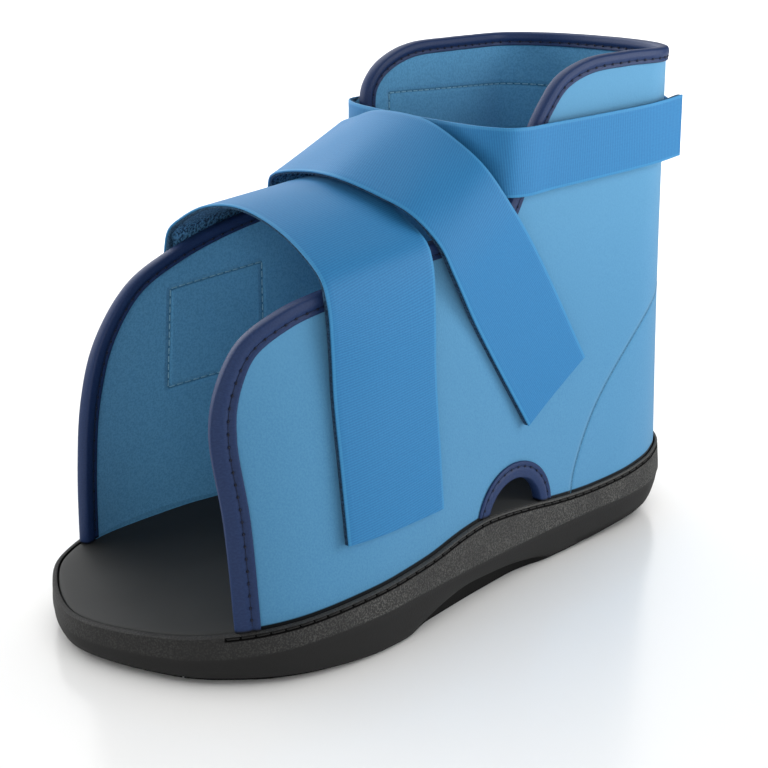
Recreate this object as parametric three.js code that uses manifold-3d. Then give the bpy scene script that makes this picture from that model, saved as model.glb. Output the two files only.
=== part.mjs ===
// Open-toe cast shoe for the left foot: a moulded sole with a footbed, a padded felt upper that is
// open at the toe and along the throat, bound edges, and three hook-and-loop straps.
// Millimetres, +Z up. The shoe stands on z = 0 with the toe towards -Y and the outer (lateral)
// side, where the straps fasten, towards +X.

import * as THREE from 'three';
import Module from 'manifold-3d';

const wasm = await Module();
wasm.setup();

// Driving dimensions

const GAP = 0.3; // clearance between pieces that touch

const SOLE_HALF_LENGTH = 142.5;
const RIM_WIDTH = 3; // raised rim round the footbed
const RIM_HEIGHT = 2.2; // rim above the footbed
const FOOTBED_THICKNESS = 5;
const SIDE_BULGE = 0.9; // side wall proud of the rim at its ridge
const SIDE_UNDERCUT = 1.8; // side wall inside the rim at the ground
const RIM_ROUND = 0.8; // rounded edges of the rim and the footbed
const RIDGE_LIP = { out: 0.9, height: 1.2 }; // step under the side wall's ridge
const FOOT_ROUND = 0.8; // rounded lower edge of the side wall
const GROUND_INSET = 0.3;
const ARCH_RECESS = 6.5; // depth of the hollow under the waist
const ARCH_FULL = { from: 1, to: 8 }; // lower edge heights between which the hollow deepens
const TOE_SPRING = { from: -85, rise: 1.6, power: 1.8 };
const HEEL_SPRING = { from: 80, rise: 10.4, power: 1.6 };
const TREAD = { width: 3, depth: 1.6, pitch: 8.5, margin: 9, toe: [-122, -60], heel: [62, 122] };

const WALL = 3; // padded felt of the upper
const COLLAR_HEIGHT = 201;
const COLLAR = { x: 1.2, halfWidth: 45.7, taper: 0.0733, arcY: 94, arcDepth: 27.5, squareness: 2.2 };
const FRONT_Y = -124; // the panels run this far forward before their edges are trimmed

const BINDING = 0.8; // woven tape folded over the free edges
const BINDING_WIDTH = 5;
const NOTCH_BINDING_WIDTH = 6;
const NOTCH = { y: 22.8, z: 26, halfWidth: 17.4, height: 16.8, bottom: 10 };

const WEBBING = 1.2; // woven strap
const PILE = 1; // hook-and-loop pile under the strap
const STRAP_LIFT = 0.8; // slack between a strap and the felt it lies on
const HOOK_PATCH = { thickness: 1.2, low: 158, high: 181, from: 0.4, to: 0.55 };

// How finely the curved faces are divided

const OUTLINE_SAMPLES = 520;
const STATIONS = 34; // along each side of the sole
const WALL_STATIONS = 60; // along the upper from one front edge round the heel to the other
const COLLAR_STEPS = 40;
const EDGE_STEPS = 2; // between two rows of the free edge
const NOTCH_STEPS = 14;
const STRAP_STEPS = 28;
const STRAP_SAMPLES = 224;
const STRAP_COLUMNS = 3;

// Rim of the sole seen from above, from toe to heel
const TOE_TIP = { x: -12.5, y: -SOLE_HALF_LENGTH };
const HEEL_TIP = { x: -2, y: SOLE_HALF_LENGTH };
const SOLE_OUTLINE = [
  { y: -128, lateral: 30, medial: -48.5 },
  { y: -114, lateral: 45.8, medial: -58.2 },
  { y: -100, lateral: 55, medial: -61.9 },
  { y: -85, lateral: 60, medial: -62.3 },
  { y: -62, lateral: 62.3, medial: -58.5 },
  { y: -36, lateral: 59.6, medial: -50 },
  { y: 0, lateral: 53.2, medial: -39.6 },
  { y: 36, lateral: 48, medial: -34.8 },
  { y: 71, lateral: 45.8, medial: -35.2 },
  { y: 100, lateral: 44.4, medial: -39 },
  { y: 116, lateral: 40.8, medial: -39.6 },
  { y: 130, lateral: 31.5, medial: -34 },
];

// Heights along the sole: top of the rim, ridge on the side wall, lower edge of the side wall
const RIM_LINE = [
  { y: -143, z: 15.4 },
  { y: -114, z: 19.6 },
  { y: -83, z: 24.2 },
  { y: -40, z: 27.2 },
  { y: -22, z: 29.9 },
  { y: -3, z: 31.3 },
  { y: 12, z: 30.4 },
  { y: 53, z: 25.7 },
  { y: 80, z: 24.6 },
  { y: 101, z: 27.8 },
  { y: 127, z: 31 },
  { y: 143, z: 32.5 },
];
const RIDGE_LINE = [
  { y: -143, z: 11 },
  { y: -98, z: 16.2 },
  { y: -58, z: 19.4 },
  { y: 0, z: 17.5 },
  { y: 40, z: 15.2 },
  { y: 80, z: 15.8 },
  { y: 143, z: 19.5 },
];
const ARCH_LINE = [
  { y: -53, z: 1 },
  { y: -40, z: 7.4 },
  { y: -10, z: 10.7 },
  { y: 21, z: 8.7 },
  { y: 40, z: 4.4 },
  { y: 54, z: 1 },
];

// Free edge of the upper seen from the side, from the front foot of each panel up to the collar
const EDGE_LINE = [
  { lateralY: -108.3, lateralZ: 6, medialY: -110, medialZ: 6 },
  { lateralY: -111.5, lateralZ: 58, medialY: -111, medialZ: 52 },
  { lateralY: -112.6, lateralZ: 91, medialY: -109.5, medialZ: 80 },
  { lateralY: -109, lateralZ: 106.5, medialY: -103.7, medialZ: 101 },
  { lateralY: -100.5, lateralZ: 117.3, medialY: -91, medialZ: 120.3 },
  { lateralY: -85.5, lateralZ: 125.5, medialY: -74, medialZ: 132.2 },
  { lateralY: -66, lateralZ: 130.8, medialY: -46, medialZ: 139.8 },
  { lateralY: -34, lateralZ: 135.8, medialY: -18, medialZ: 142.8 },
  { lateralY: 1, lateralZ: 138.8, medialY: 1, medialZ: 144.8 },
  { lateralY: 15.5, lateralZ: 145, medialY: 15.5, medialZ: 151 },
  { lateralY: 22, lateralZ: 157, medialY: 19.7, medialZ: 163.5 },
  { lateralY: 28.5, lateralZ: 176, medialY: 19.4, medialZ: 184 },
  { lateralY: 35.5, lateralZ: 186, medialY: 23.5, medialZ: 191.5 },
  { lateralY: 45, lateralZ: 194, medialY: 32, medialZ: 197 },
  { lateralY: 59, lateralZ: 199, medialY: 45, medialZ: 200 },
  { lateralY: 82, lateralZ: COLLAR_HEIGHT, medialY: 72, medialZ: COLLAR_HEIGHT },
  { lateralY: 150, lateralZ: COLLAR_HEIGHT, medialY: 150, medialZ: COLLAR_HEIGHT },
];

const LATERAL = 1;
const MEDIAL = -1;

const FINISH = {
  outsole: { color: '#353535', roughness: 0.62, metalness: 0 },
  footbed: { color: '#272729', roughness: 0.42, metalness: 0 },
  felt: { color: '#6ba3cc', roughness: 0.95, metalness: 0 },
  tape: { color: '#2f3b66', roughness: 0.7, metalness: 0 },
  webbing: { color: '#4a8fc8', roughness: 0.8, metalness: 0 },
  pile: { color: '#22364f', roughness: 1, metalness: 0 },
};

const shoe = new THREE.Group();
shoe.name = 'cast_shoe';

// Curves through short tables

/** Smooth function through the rows of a table, flat beyond its ends. */
function tableCurve(rows, from, to) {
  const slope = rows.map((row, i) => {
    const before = rows[Math.max(i - 1, 0)];
    const after = rows[Math.min(i + 1, rows.length - 1)];
    return (after[to] - before[to]) / (after[from] - before[from]);
  });
  return (value) => {
    if (value <= rows[0][from]) return rows[0][to];
    const i = rows.findIndex((row) => row[from] >= value);
    if (i < 0) return rows[rows.length - 1][to];
    const start = rows[i - 1];
    const end = rows[i];
    const span = end[from] - start[from];
    const t = (value - start[from]) / span;
    const bend = t * t * (3 - 2 * t);
    return (
      THREE.MathUtils.lerp(start[to], end[to], bend) +
      span * t * (1 - t) * ((1 - t) * slope[i - 1] - t * slope[i])
    );
  };
}

/** Value of a polyline's second coordinate where its first one, which only grows, has a value. */
function alongPolyline(points, value) {
  const found = points.findIndex((point) => point[0] >= value);
  const i = found < 0 ? points.length - 1 : Math.max(found, 1);
  const [start, end] = [points[i - 1], points[i]];
  const t = THREE.MathUtils.clamp((value - start[0]) / (end[0] - start[0]), 0, 1);
  return THREE.MathUtils.lerp(start[1], end[1], t);
}

/** Points spread evenly along a plan polyline. */
function spreadEvenly(points, count) {
  let length = 0;
  const marks = points.map((point, i) => {
    length += i ? point.distanceTo(points[i - 1]) : 0;
    return length;
  });
  const xs = points.map((point, i) => [marks[i], point.x]);
  const ys = points.map((point, i) => [marks[i], point.y]);
  return Array.from({ length: count + 1 }, (_, i) => {
    const mark = (length * i) / count;
    return new THREE.Vector2(alongPolyline(xs, mark), alongPolyline(ys, mark));
  });
}

/** Plan points moved sideways, to the right of their direction of travel. */
function offsetPlan(points, distance, closed = false) {
  const last = points.length - 1;
  return points.map((point, i) => {
    const before = points[i > 0 ? i - 1 : closed ? last : 0];
    const after = points[i < last ? i + 1 : closed ? 0 : last];
    const along = after.clone().sub(before).normalize();
    return new THREE.Vector2(point.x + along.y * distance, point.y - along.x * distance);
  });
}

// Solids from sections

/** Closed solid through a row of sections, each a closed run of points; pairs close its two ends. */
function loft(sections, pairs) {
  const size = sections[0].length;
  const positions = sections.flat().flatMap((point) => [point.x, point.y, point.z]);
  const triangles = [];
  const addQuad = (a, b, c, d) => {
    if (a !== b && b !== c && c !== a) triangles.push(a, b, c);
    if (a !== c && c !== d && d !== a) triangles.push(a, c, d);
  };
  for (let s = 0; s + 1 < sections.length; s++) {
    for (let i = 0; i < size; i++) {
      const next = (i + 1) % size;
      const [here, there] = [s * size, (s + 1) * size];
      if (i < size / 2) addQuad(here + i, here + next, there + next, there + i);
      else addQuad(here + next, there + next, there + i, here + i);
    }
  }
  const end = (sections.length - 1) * size;
  for (let i = 0; i + 1 < pairs.length; i++) {
    const [[a, b], [d, c]] = [pairs[i], pairs[i + 1]];
    addQuad(a, b, c, d);
    addQuad(end + a, end + d, end + c, end + b);
  }
  return facingOut(positions, triangles);
}

/** Pairs that close a section made of an outer run and an inner run back. */
function facingPairs(size) {
  return Array.from({ length: size / 2 }, (_, i) => [i, size - 1 - i]);
}

/** Pairs that close a ring that starts at the toe tip and passes the heel tip half way. */
function ringPairs(size) {
  return Array.from({ length: size / 2 + 1 }, (_, i) => [i, (size - i) % size]);
}

/** Solid as a manifold whose faces point outwards. */
function facingOut(positions, triangles) {
  const corner = (i) => new THREE.Vector3().fromArray(positions, 3 * i);
  let volume = 0;
  for (let i = 0; i < triangles.length; i += 3) {
    const [a, b, c] = [0, 1, 2].map((k) => corner(triangles[i + k]));
    volume += a.dot(b.cross(c));
  }
  const turned = volume < 0 ? triangles.slice().reverse() : triangles;
  return solidFrom(positions, turned);
}

function solidFrom(positions, triangles) {
  const mesh = new wasm.Mesh({
    numProp: 3,
    vertProperties: Float32Array.from(positions),
    triVerts: Uint32Array.from(triangles),
  });
  return new wasm.Manifold(mesh);
}

/** Manifold of one of three.js's own closed geometries. */
function solidOf(geometry) {
  const source = geometry.index ? geometry.toNonIndexed() : geometry;
  const corners = source.attributes.position;
  const seen = new Map();
  const positions = [];
  const triangles = [];
  for (let i = 0; i < corners.count; i++) {
    const point = [corners.getX(i), corners.getY(i), corners.getZ(i)];
    const key = point.map((value) => value.toFixed(4)).join();
    if (!seen.has(key)) {
      seen.set(key, positions.length / 3);
      positions.push(...point);
    }
    triangles.push(seen.get(key));
  }
  return solidFrom(positions, triangles);
}

function addPiece(name, solid, finish) {
  const { vertProperties, triVerts } = solid.getMesh();
  const geometry = new THREE.BufferGeometry();
  geometry.setAttribute('position', new THREE.BufferAttribute(vertProperties, 3));
  geometry.setIndex(new THREE.BufferAttribute(triVerts, 1));
  geometry.computeVertexNormals();
  const piece = new THREE.Mesh(geometry, new THREE.MeshStandardMaterial(finish));
  piece.name = name;
  shoe.add(piece);
}

// Sole

const rimZ = tableCurve(RIM_LINE, 'y', 'z');
const ridgeZ = tableCurve(RIDGE_LINE, 'y', 'z');
const archZ = tableCurve(ARCH_LINE, 'y', 'z');
const footbedZ = (y) => rimZ(y) - RIM_HEIGHT;
const pocketZ = (y) => footbedZ(y) - FOOTBED_THICKNESS - GAP;

function groundZ(y) {
  const toe = Math.max(0, (TOE_SPRING.from - y) / (SOLE_HALF_LENGTH + TOE_SPRING.from));
  const heel = Math.max(0, (y - HEEL_SPRING.from) / (SOLE_HALF_LENGTH - HEEL_SPRING.from));
  return TOE_SPRING.rise * toe ** TOE_SPRING.power + HEEL_SPRING.rise * heel ** HEEL_SPRING.power;
}

/** Rim of the sole from above: toe tip, lateral side, heel tip, medial side. */
function soleRim() {
  const toeTip = new THREE.Vector3(TOE_TIP.x, TOE_TIP.y);
  const heelTip = new THREE.Vector3(HEEL_TIP.x, HEEL_TIP.y);
  const lateral = SOLE_OUTLINE.map((row) => new THREE.Vector3(row.lateral, row.y));
  const medial = SOLE_OUTLINE.map((row) => new THREE.Vector3(row.medial, row.y)).reverse();
  const curve = new THREE.CatmullRomCurve3(
    [toeTip, ...lateral, heelTip, ...medial],
    true,
    'centripetal',
  );
  const outline = curve.getPoints(OUTLINE_SAMPLES);
  const heel = outline.findIndex((point) => point.distanceTo(heelTip) < 0.01);
  const toRows = (points) => points.map((point) => [point.y, point.x]);
  const lateralRows = toRows(outline.slice(0, heel + 1));
  const medialRows = toRows(outline.slice(heel)).reverse();
  const stationY = (k) => -SOLE_HALF_LENGTH * Math.cos((Math.PI * k) / STATIONS);
  const side = (rows, k) => new THREE.Vector2(alongPolyline(rows, stationY(k)), stationY(k));
  const ring = [];
  for (let k = 0; k <= STATIONS; k++) ring.push(side(lateralRows, k));
  for (let k = STATIONS - 1; k > 0; k--) ring.push(side(medialRows, k));
  return ring;
}

const RIM = soleRim();

/** Closed ring at a distance outside the rim, at a height that depends on y. */
function soleRing(outside, heightAt) {
  return offsetPlan(RIM, outside, true).map(
    (point) => new THREE.Vector3(point.x, point.y, heightAt(point.y)),
  );
}

function raised(heightAt, rise) {
  return (y) => heightAt(y) + rise;
}

function buildOutsole() {
  const lowerEdge = (y) => Math.max(archZ(y), groundZ(y) + FOOT_ROUND);
  const between = (top, bottom, share) => (y) => THREE.MathUtils.lerp(top(y), bottom(y), share);
  const hollow = (y) => {
    return ARCH_RECESS * THREE.MathUtils.smoothstep(archZ(y), ARCH_FULL.from, ARCH_FULL.to);
  };
  const rings = [
    soleRing(-RIM_WIDTH, pocketZ),
    soleRing(-RIM_WIDTH, raised(rimZ, -RIM_ROUND)),
    soleRing(RIM_ROUND - RIM_WIDTH, rimZ),
    soleRing(-RIM_ROUND, rimZ),
    soleRing(0, raised(rimZ, -RIM_ROUND)),
    soleRing(0.75 * SIDE_BULGE, between(rimZ, ridgeZ, 0.55)),
    soleRing(SIDE_BULGE, raised(ridgeZ, RIDGE_LIP.height / 2)),
    soleRing(SIDE_BULGE - RIDGE_LIP.out, raised(ridgeZ, -RIDGE_LIP.height / 2)),
    soleRing(-0.1 * SIDE_UNDERCUT, between(ridgeZ, lowerEdge, 0.6)),
    soleRing(-SIDE_UNDERCUT, raised(lowerEdge, FOOT_ROUND)),
    soleRing(-SIDE_UNDERCUT - FOOT_ROUND, lowerEdge),
  ];
  const underside = raised(lowerEdge, -GROUND_INSET / 2);
  rings.push(drawnIn(rings.at(-1), raised(hollow, GROUND_INSET), underside));
  rings.push(drawnIn(rings.at(-1), () => GROUND_INSET, groundZ));
  let sole = loft(rings, ringPairs(RIM.length));
  for (const [first, last] of [TREAD.toe, TREAD.heel]) {
    for (let y = first; y <= last; y += TREAD.pitch) {
      const [left, right] = soleSides(y).map((x) => x - Math.sign(x) * TREAD.margin);
      const groove = new THREE.BoxGeometry(right - left, TREAD.width, 2 * TREAD.depth);
      groove.translate((left + right) / 2, y, groundZ(y));
      sole = sole.subtract(solidOf(groove));
    }
  }
  return sole;
}

/** Medial and lateral side of the rim at one place along the shoe. */
function soleSides(y) {
  const rows = RIM.map((point) => [point.y, point.x]);
  const lateral = rows.slice(0, STATIONS + 1);
  const medial = [...rows.slice(STATIONS), rows[0]].reverse();
  return [alongPolyline(medial, y), alongPolyline(lateral, y)];
}

/** Ring drawn in from another one by a distance that depends on y, at a new height. */
function drawnIn(ring, distanceAt, heightAt) {
  const plan = ring.map((point) => new THREE.Vector2(point.x, point.y));
  const inward = offsetPlan(plan, -1, true);
  return plan.map((point, i) => {
    const moved = point.clone().lerp(inward[i], distanceAt(point.y));
    return new THREE.Vector3(moved.x, moved.y, heightAt(point.y));
  });
}

function buildFootbed() {
  const edge = -RIM_WIDTH - GAP;
  return loft(
    [
      soleRing(edge, raised(pocketZ, GAP)),
      soleRing(edge, raised(footbedZ, -RIM_ROUND)),
      soleRing(edge - RIM_ROUND, footbedZ),
    ],
    ringPairs(RIM.length),
  );
}

// Upper

const BINDING_OUT = GAP + BINDING;
const FELT_FOOT = GAP - RIM_HEIGHT; // felt stands on the footbed, inside the rim
const TAPE_FOOT = 0.5; // tape stands over the rim
const WALL_SPLIT = 110; // height at which the wall's faces are divided
const TRIM_ALLOWANCE = 12; // height of wall that the free edge cuts off

/** Foot of the upper from above, inside the rim, from the lateral front round the heel. */
function upperFoot() {
  const inside = offsetPlan(RIM, -RIM_WIDTH - GAP, true);
  const lateral = inside.slice(1, STATIONS + 1).filter((point) => point.y > FRONT_Y);
  const medial = inside.slice(STATIONS + 1).filter((point) => point.y > FRONT_Y);
  return spreadEvenly([...lateral, ...medial], WALL_STATIONS);
}

/** Collar from above: two sides that close in towards the front, and a round heel. */
function upperCollar() {
  const side = (sign) => {
    const front = COLLAR.halfWidth - COLLAR.taper * (COLLAR.arcY - FRONT_Y);
    return new THREE.Vector2(COLLAR.x + sign * front, FRONT_Y);
  };
  const arc = Array.from({ length: COLLAR_STEPS + 1 }, (_, i) => {
    const angle = (Math.PI * i) / COLLAR_STEPS;
    const power = 2 / COLLAR.squareness;
    const across = Math.sign(Math.cos(angle)) * Math.abs(Math.cos(angle)) ** power;
    const back = Math.sin(angle) ** power;
    return new THREE.Vector2(
      COLLAR.x + COLLAR.halfWidth * across,
      COLLAR.arcY + COLLAR.arcDepth * back,
    );
  });
  return spreadEvenly([side(LATERAL), ...arc, side(MEDIAL)], WALL_STATIONS);
}

const UPPER_FOOT = upperFoot();
const UPPER_COLLAR = upperCollar();

/** Outer face of the upper at one station: straight from the rim to the collar. */
function wallPoint(station, z) {
  const foot = UPPER_FOOT[station];
  const rim = rimZ(foot.y);
  const share = Math.max(0, (z - rim) / (COLLAR_HEIGHT - rim));
  return foot.clone().lerp(UPPER_COLLAR[station], share);
}

/** Outer face of the upper across one side, at a height. */
function wallX(side, y, z) {
  const half = Math.floor(WALL_STATIONS / 2);
  const stations = Array.from({ length: half + 1 }, (_, i) => (side > 0 ? i : WALL_STATIONS - i));
  const rows = stations.map((station) => wallPoint(station, z)).map((point) => [point.y, point.x]);
  return alongPolyline(rows, y);
}

/** Wall that follows the upper, grown by a distance on both faces, from a height above the rim. */
function upperWall(grown, aboveRim) {
  const heights = [WALL_SPLIT, COLLAR_HEIGHT + TRIM_ALLOWANCE];
  const plans = [
    { at: (y) => rimZ(y) + aboveRim, z: 0 },
    { at: (y) => rimZ(y) + TAPE_FOOT, z: 0 },
    ...heights.map((z) => ({ at: () => z, z })),
  ];
  const faces = [grown, -WALL - grown].map((distance) =>
    plans.map(({ at, z }) => {
      const plan = UPPER_FOOT.map((_, station) => wallPoint(station, z));
      return offsetPlan(plan, distance).map((point) => new THREE.Vector3(point.x, point.y, at(point.y)));
    }),
  );
  const sections = UPPER_FOOT.map((_, station) => [
    ...faces[0].map((level) => level[station]),
    ...faces[1].map((level) => level[station]).reverse(),
  ]);
  return loft(sections, facingPairs(sections[0].length));
}

/** Free edge of one side of the upper, as a smooth line in its side view. */
function freeEdge(side) {
  const rows = EDGE_LINE.map((row) =>
    side > 0
      ? new THREE.Vector3(row.lateralY, row.lateralZ)
      : new THREE.Vector3(row.medialY, row.medialZ),
  );
  const curve = new THREE.CatmullRomCurve3(rows, false, 'centripetal');
  const points = curve.getPoints(EDGE_STEPS * (rows.length - 1));
  return points.map((point) => new THREE.Vector2(point.x, point.y));
}

const FREE_EDGE = { [LATERAL]: freeEdge(LATERAL), [MEDIAL]: freeEdge(MEDIAL) };

/** Solid of a side-view outline, pushed through one half of the shoe. */
function sidePrism(outline, side) {
  const reach = 2 * COLLAR_HEIGHT;
  const prism = new THREE.ExtrudeGeometry(new THREE.Shape(outline), {
    depth: reach,
    bevelEnabled: false,
  });
  const axes = [new THREE.Vector3(0, 1, 0), new THREE.Vector3(0, 0, 1), new THREE.Vector3(1, 0, 0)];
  prism.applyMatrix4(new THREE.Matrix4().makeBasis(...axes));
  prism.translate(side > 0 ? 0 : -reach, 0, 0);
  return solidOf(prism);
}

/** All that lies under the free edge once the edge is moved outwards. */
function underFreeEdge(outwards) {
  const halves = [LATERAL, MEDIAL].map((side) => {
    const edge = offsetPlan(FREE_EDGE[side], -outwards);
    const back = edge.at(-1);
    const deep = -COLLAR_HEIGHT;
    const closing = [new THREE.Vector2(back.x, deep), new THREE.Vector2(edge[0].x, deep)];
    return sidePrism([...edge, ...closing].reverse(), side);
  });
  return halves[0].add(halves[1]);
}

/** Arched notch over the waist, grown by a distance. */
function notchPrism(grown, side) {
  const arch = Array.from({ length: NOTCH_STEPS + 1 }, (_, i) => {
    const angle = (Math.PI * i) / NOTCH_STEPS;
    return new THREE.Vector2(
      NOTCH.y + (NOTCH.halfWidth + grown) * Math.cos(angle),
      NOTCH.z + (NOTCH.height + grown) * Math.sin(angle),
    );
  });
  const feet = [-1, 1].map((end) => {
    const y = NOTCH.y + end * (NOTCH.halfWidth + grown);
    return new THREE.Vector2(y, NOTCH.bottom);
  });
  return sidePrism([...arch, ...feet], side);
}

function buildUpper() {
  const wall = upperWall(0, FELT_FOOT).intersect(underFreeEdge(0));
  return wall.subtract(notchPrism(0, LATERAL)).subtract(notchPrism(0, MEDIAL));
}

function buildEdgeBinding() {
  const channel = upperWall(GAP, FELT_FOOT).intersect(underFreeEdge(GAP));
  return upperWall(BINDING_OUT, TAPE_FOOT)
    .intersect(underFreeEdge(BINDING_OUT))
    .subtract(underFreeEdge(-BINDING_WIDTH))
    .subtract(channel);
}

function buildNotchBinding(side) {
  const channel = upperWall(GAP, FELT_FOOT).subtract(notchPrism(-GAP, side));
  return upperWall(BINDING_OUT, TAPE_FOOT)
    .intersect(notchPrism(NOTCH_BINDING_WIDTH, side))
    .subtract(notchPrism(-BINDING_OUT, side))
    .subtract(channel);
}

// Straps

const PILE_FACE = STRAP_LIFT + PILE; // outer face of the pile over the felt it lies on
const STRAP_FACE = PILE_FACE + GAP + WEBBING;
const OVER_TAPE = BINDING_OUT + GAP; // extra height where a strap crosses a bound edge
const OVER_PATCH = HOOK_PATCH.thickness + GAP;

/** Point on the outer face of the upper, lifted off it. */
function onSide(side, y, z, lift) {
  return new THREE.Vector3(wallX(side, y, z) + side * lift, y, z);
}

/** Row of a strap that lies on a side of the upper: its two edges in side view. */
function layRow(side, first, second, lift = 0) {
  return Array.from({ length: STRAP_COLUMNS + 1 }, (_, i) => {
    const share = i / STRAP_COLUMNS;
    const y = THREE.MathUtils.lerp(first[0], second[0], share);
    const z = THREE.MathUtils.lerp(first[1], second[1], share);
    return onSide(side, y, z, STRAP_FACE + lift);
  });
}

/** Row of a strap that spans an opening: its two edges in space. */
function spanRow(first, second) {
  const [start, end] = [new THREE.Vector3(...first), new THREE.Vector3(...second)];
  return Array.from({ length: STRAP_COLUMNS + 1 }, (_, i) =>
    start.clone().lerp(end, i / STRAP_COLUMNS),
  );
}

/** Band between two depths under the strap's outer face. */
function strapBand(rows, outerDepth, innerDepth) {
  const columns = rows[0].map((_, c) => {
    const curve = new THREE.CatmullRomCurve3(rows.map((row) => row[c]), false, 'centripetal');
    return curve.getPoints(STRAP_SAMPLES);
  });
  const shares = spreadRows(columns);
  const grid = shares.map((index) => columns.map((column) => column[index]));
  const sections = grid.map((row, s) => {
    const normals = row.map((_, c) => gridNormal(grid, s, c));
    const face = (depth) => row.map((point, c) => point.clone().addScaledVector(normals[c], -depth));
    return [...face(outerDepth), ...face(innerDepth).reverse()];
  });
  return loft(sections, facingPairs(sections[0].length));
}

/** Sample numbers that lie evenly along the strap's middle. */
function spreadRows(columns) {
  const middle = columns[Math.floor(columns.length / 2)];
  let length = 0;
  const marks = middle.map((point, i) => {
    length += i ? point.distanceTo(middle[i - 1]) : 0;
    return length;
  });
  return Array.from({ length: STRAP_STEPS + 1 }, (_, i) => {
    const mark = (length * i) / STRAP_STEPS;
    const found = marks.findIndex((value) => value >= mark - 1e-6);
    return found < 0 ? marks.length - 1 : found;
  });
}

/** Outward direction of a strap's face at one point of its grid. */
function gridNormal(grid, s, c) {
  const at = (i, j) => {
    const row = grid[THREE.MathUtils.clamp(i, 0, grid.length - 1)];
    return row[THREE.MathUtils.clamp(j, 0, row.length - 1)];
  };
  const along = at(s + 1, c).clone().sub(at(s - 1, c));
  const across = at(s, c + 1).clone().sub(at(s, c - 1));
  return along.cross(across).normalize();
}

function addStrap(name, rows) {
  addPiece(name, strapBand(rows, 0, WEBBING), FINISH.webbing);
  const pileTop = WEBBING + GAP;
  addPiece(`${name}_pile`, strapBand(rows, pileTop, pileTop + PILE), FINISH.pile);
}

/** Forefoot strap: sewn outside the medial panel, over the throat, down the lateral panel. */
function forefootRows() {
  const front = -73;
  const rear = -25.5;
  const arch = [
    { x: -47.4, frontZ: 132, rearZ: 141 },
    { x: -44.6, frontZ: 139.6, rearZ: 148 },
    { x: -36, frontZ: 145.6, rearZ: 152 },
    { x: -20, frontZ: 152.6, rearZ: 157.5 },
    { x: 0.7, frontZ: 155.3, rearZ: 159.8 },
    { x: 21, frontZ: 151.6, rearZ: 156.6 },
    { x: 36, frontZ: 145, rearZ: 150.8 },
    { x: 46.4, frontZ: 137, rearZ: 144.4 },
    { x: 49.6, frontZ: 128.5, rearZ: 136.5 },
  ];
  const level = (side, z, lift) => layRow(side, [front, z], [rear, z], lift);
  return [
    level(MEDIAL, 76),
    level(MEDIAL, 98),
    level(MEDIAL, 118, OVER_TAPE),
    ...arch.map(({ x, frontZ, rearZ }) => spanRow([x, front, frontZ], [x, rear, rearZ])),
    level(LATERAL, 116, OVER_TAPE),
    level(LATERAL, 96),
    level(LATERAL, 72),
    level(LATERAL, 45.5),
  ];
}

/** Instep strap: from the medial side across the instep and back down the lateral side. */
function instepRows() {
  return [
    layRow(MEDIAL, [-20, 98], [18, 98]),
    layRow(MEDIAL, [-20, 122], [18, 124], OVER_TAPE),
    spanRow([-46.5, -24, 147], [-49, 18.5, 165.5]),
    spanRow([-43, -26.5, 153], [-46, 12, 170.4]),
    spanRow([-36, -29.5, 157], [-26, 4.5, 178]),
    spanRow([-13, -33, 161.6], [-11, 1, 181.8]),
    spanRow([10, -36, 162.6], [5, 0, 182.2]),
    spanRow([27, -32.5, 158.6], [18, 1.5, 179.8]),
    spanRow([40.6, -27.5, 152.6], [32, 3.5, 173.4]),
    spanRow([48.2, -21, 142], [43, 6, 165.6]),
    layRow(LATERAL, [-12.2, 129], [16, 151], 2 * OVER_TAPE),
    layRow(LATERAL, [0, 108.5], [33, 130]),
    layRow(LATERAL, [28.2, 63.2], [60.6, 84]),
  ];
}

/** Ankle strap: sewn outside the medial collar, across the front, free past the lateral heel. */
function ankleRows() {
  const upright = (x, y, low, high) => spanRow([x, y, low], [x, y, high]);
  return [
    layRow(MEDIAL, [92, 157], [92, 182]),
    layRow(MEDIAL, [62, 157], [62, 182]),
    layRow(MEDIAL, [36, 156.5], [36, 181.5], OVER_TAPE),
    upright(-44.3, 22, 156, 181),
    upright(-42, 14, 155.8, 180.8),
    upright(-33, 9.3, 155.5, 180.4),
    upright(-15, 7.5, 155, 179.8),
    upright(14, 7.5, 154.5, 179.2),
    upright(36, 9.5, 154, 178.8),
    upright(46.5, 14.5, 153.8, 178.7),
    upright(49, 23, 153.7, 178.6),
    layRow(LATERAL, [36, 153.6], [36, 178.6], OVER_TAPE),
    layRow(LATERAL, [61, 155], [61, 179.6], OVER_PATCH),
    layRow(LATERAL, [87, 156.2], [87, 180.6], OVER_PATCH),
    spanRow([49.7, 104, 156.8], [49.7, 104, 181.1]),
    spanRow([42.6, 119.5, 157.2], [41.6, 121, 181.6]),
  ];
}

/** Hook patch on the upper, from the lateral side round the heel, under the ankle strap's end. */
function buildHookPatch() {
  const { low, high, thickness } = HOOK_PATCH;
  const first = Math.round(HOOK_PATCH.from * WALL_STATIONS);
  const last = Math.round(HOOK_PATCH.to * WALL_STATIONS);
  const faceAt = (z, distance) => {
    const plan = UPPER_FOOT.map((_, station) => wallPoint(station, z));
    return offsetPlan(plan, distance).map((point) => new THREE.Vector3(point.x, point.y, z));
  };
  const [near, far] = [GAP, GAP + thickness];
  const corners = [faceAt(low, far), faceAt(high, far), faceAt(high, near), faceAt(low, near)];
  const sections = [];
  for (let station = first; station <= last; station++) {
    sections.push(corners.map((corner) => corner[station]));
  }
  return loft(sections, facingPairs(4));
}

// Assembly

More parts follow.
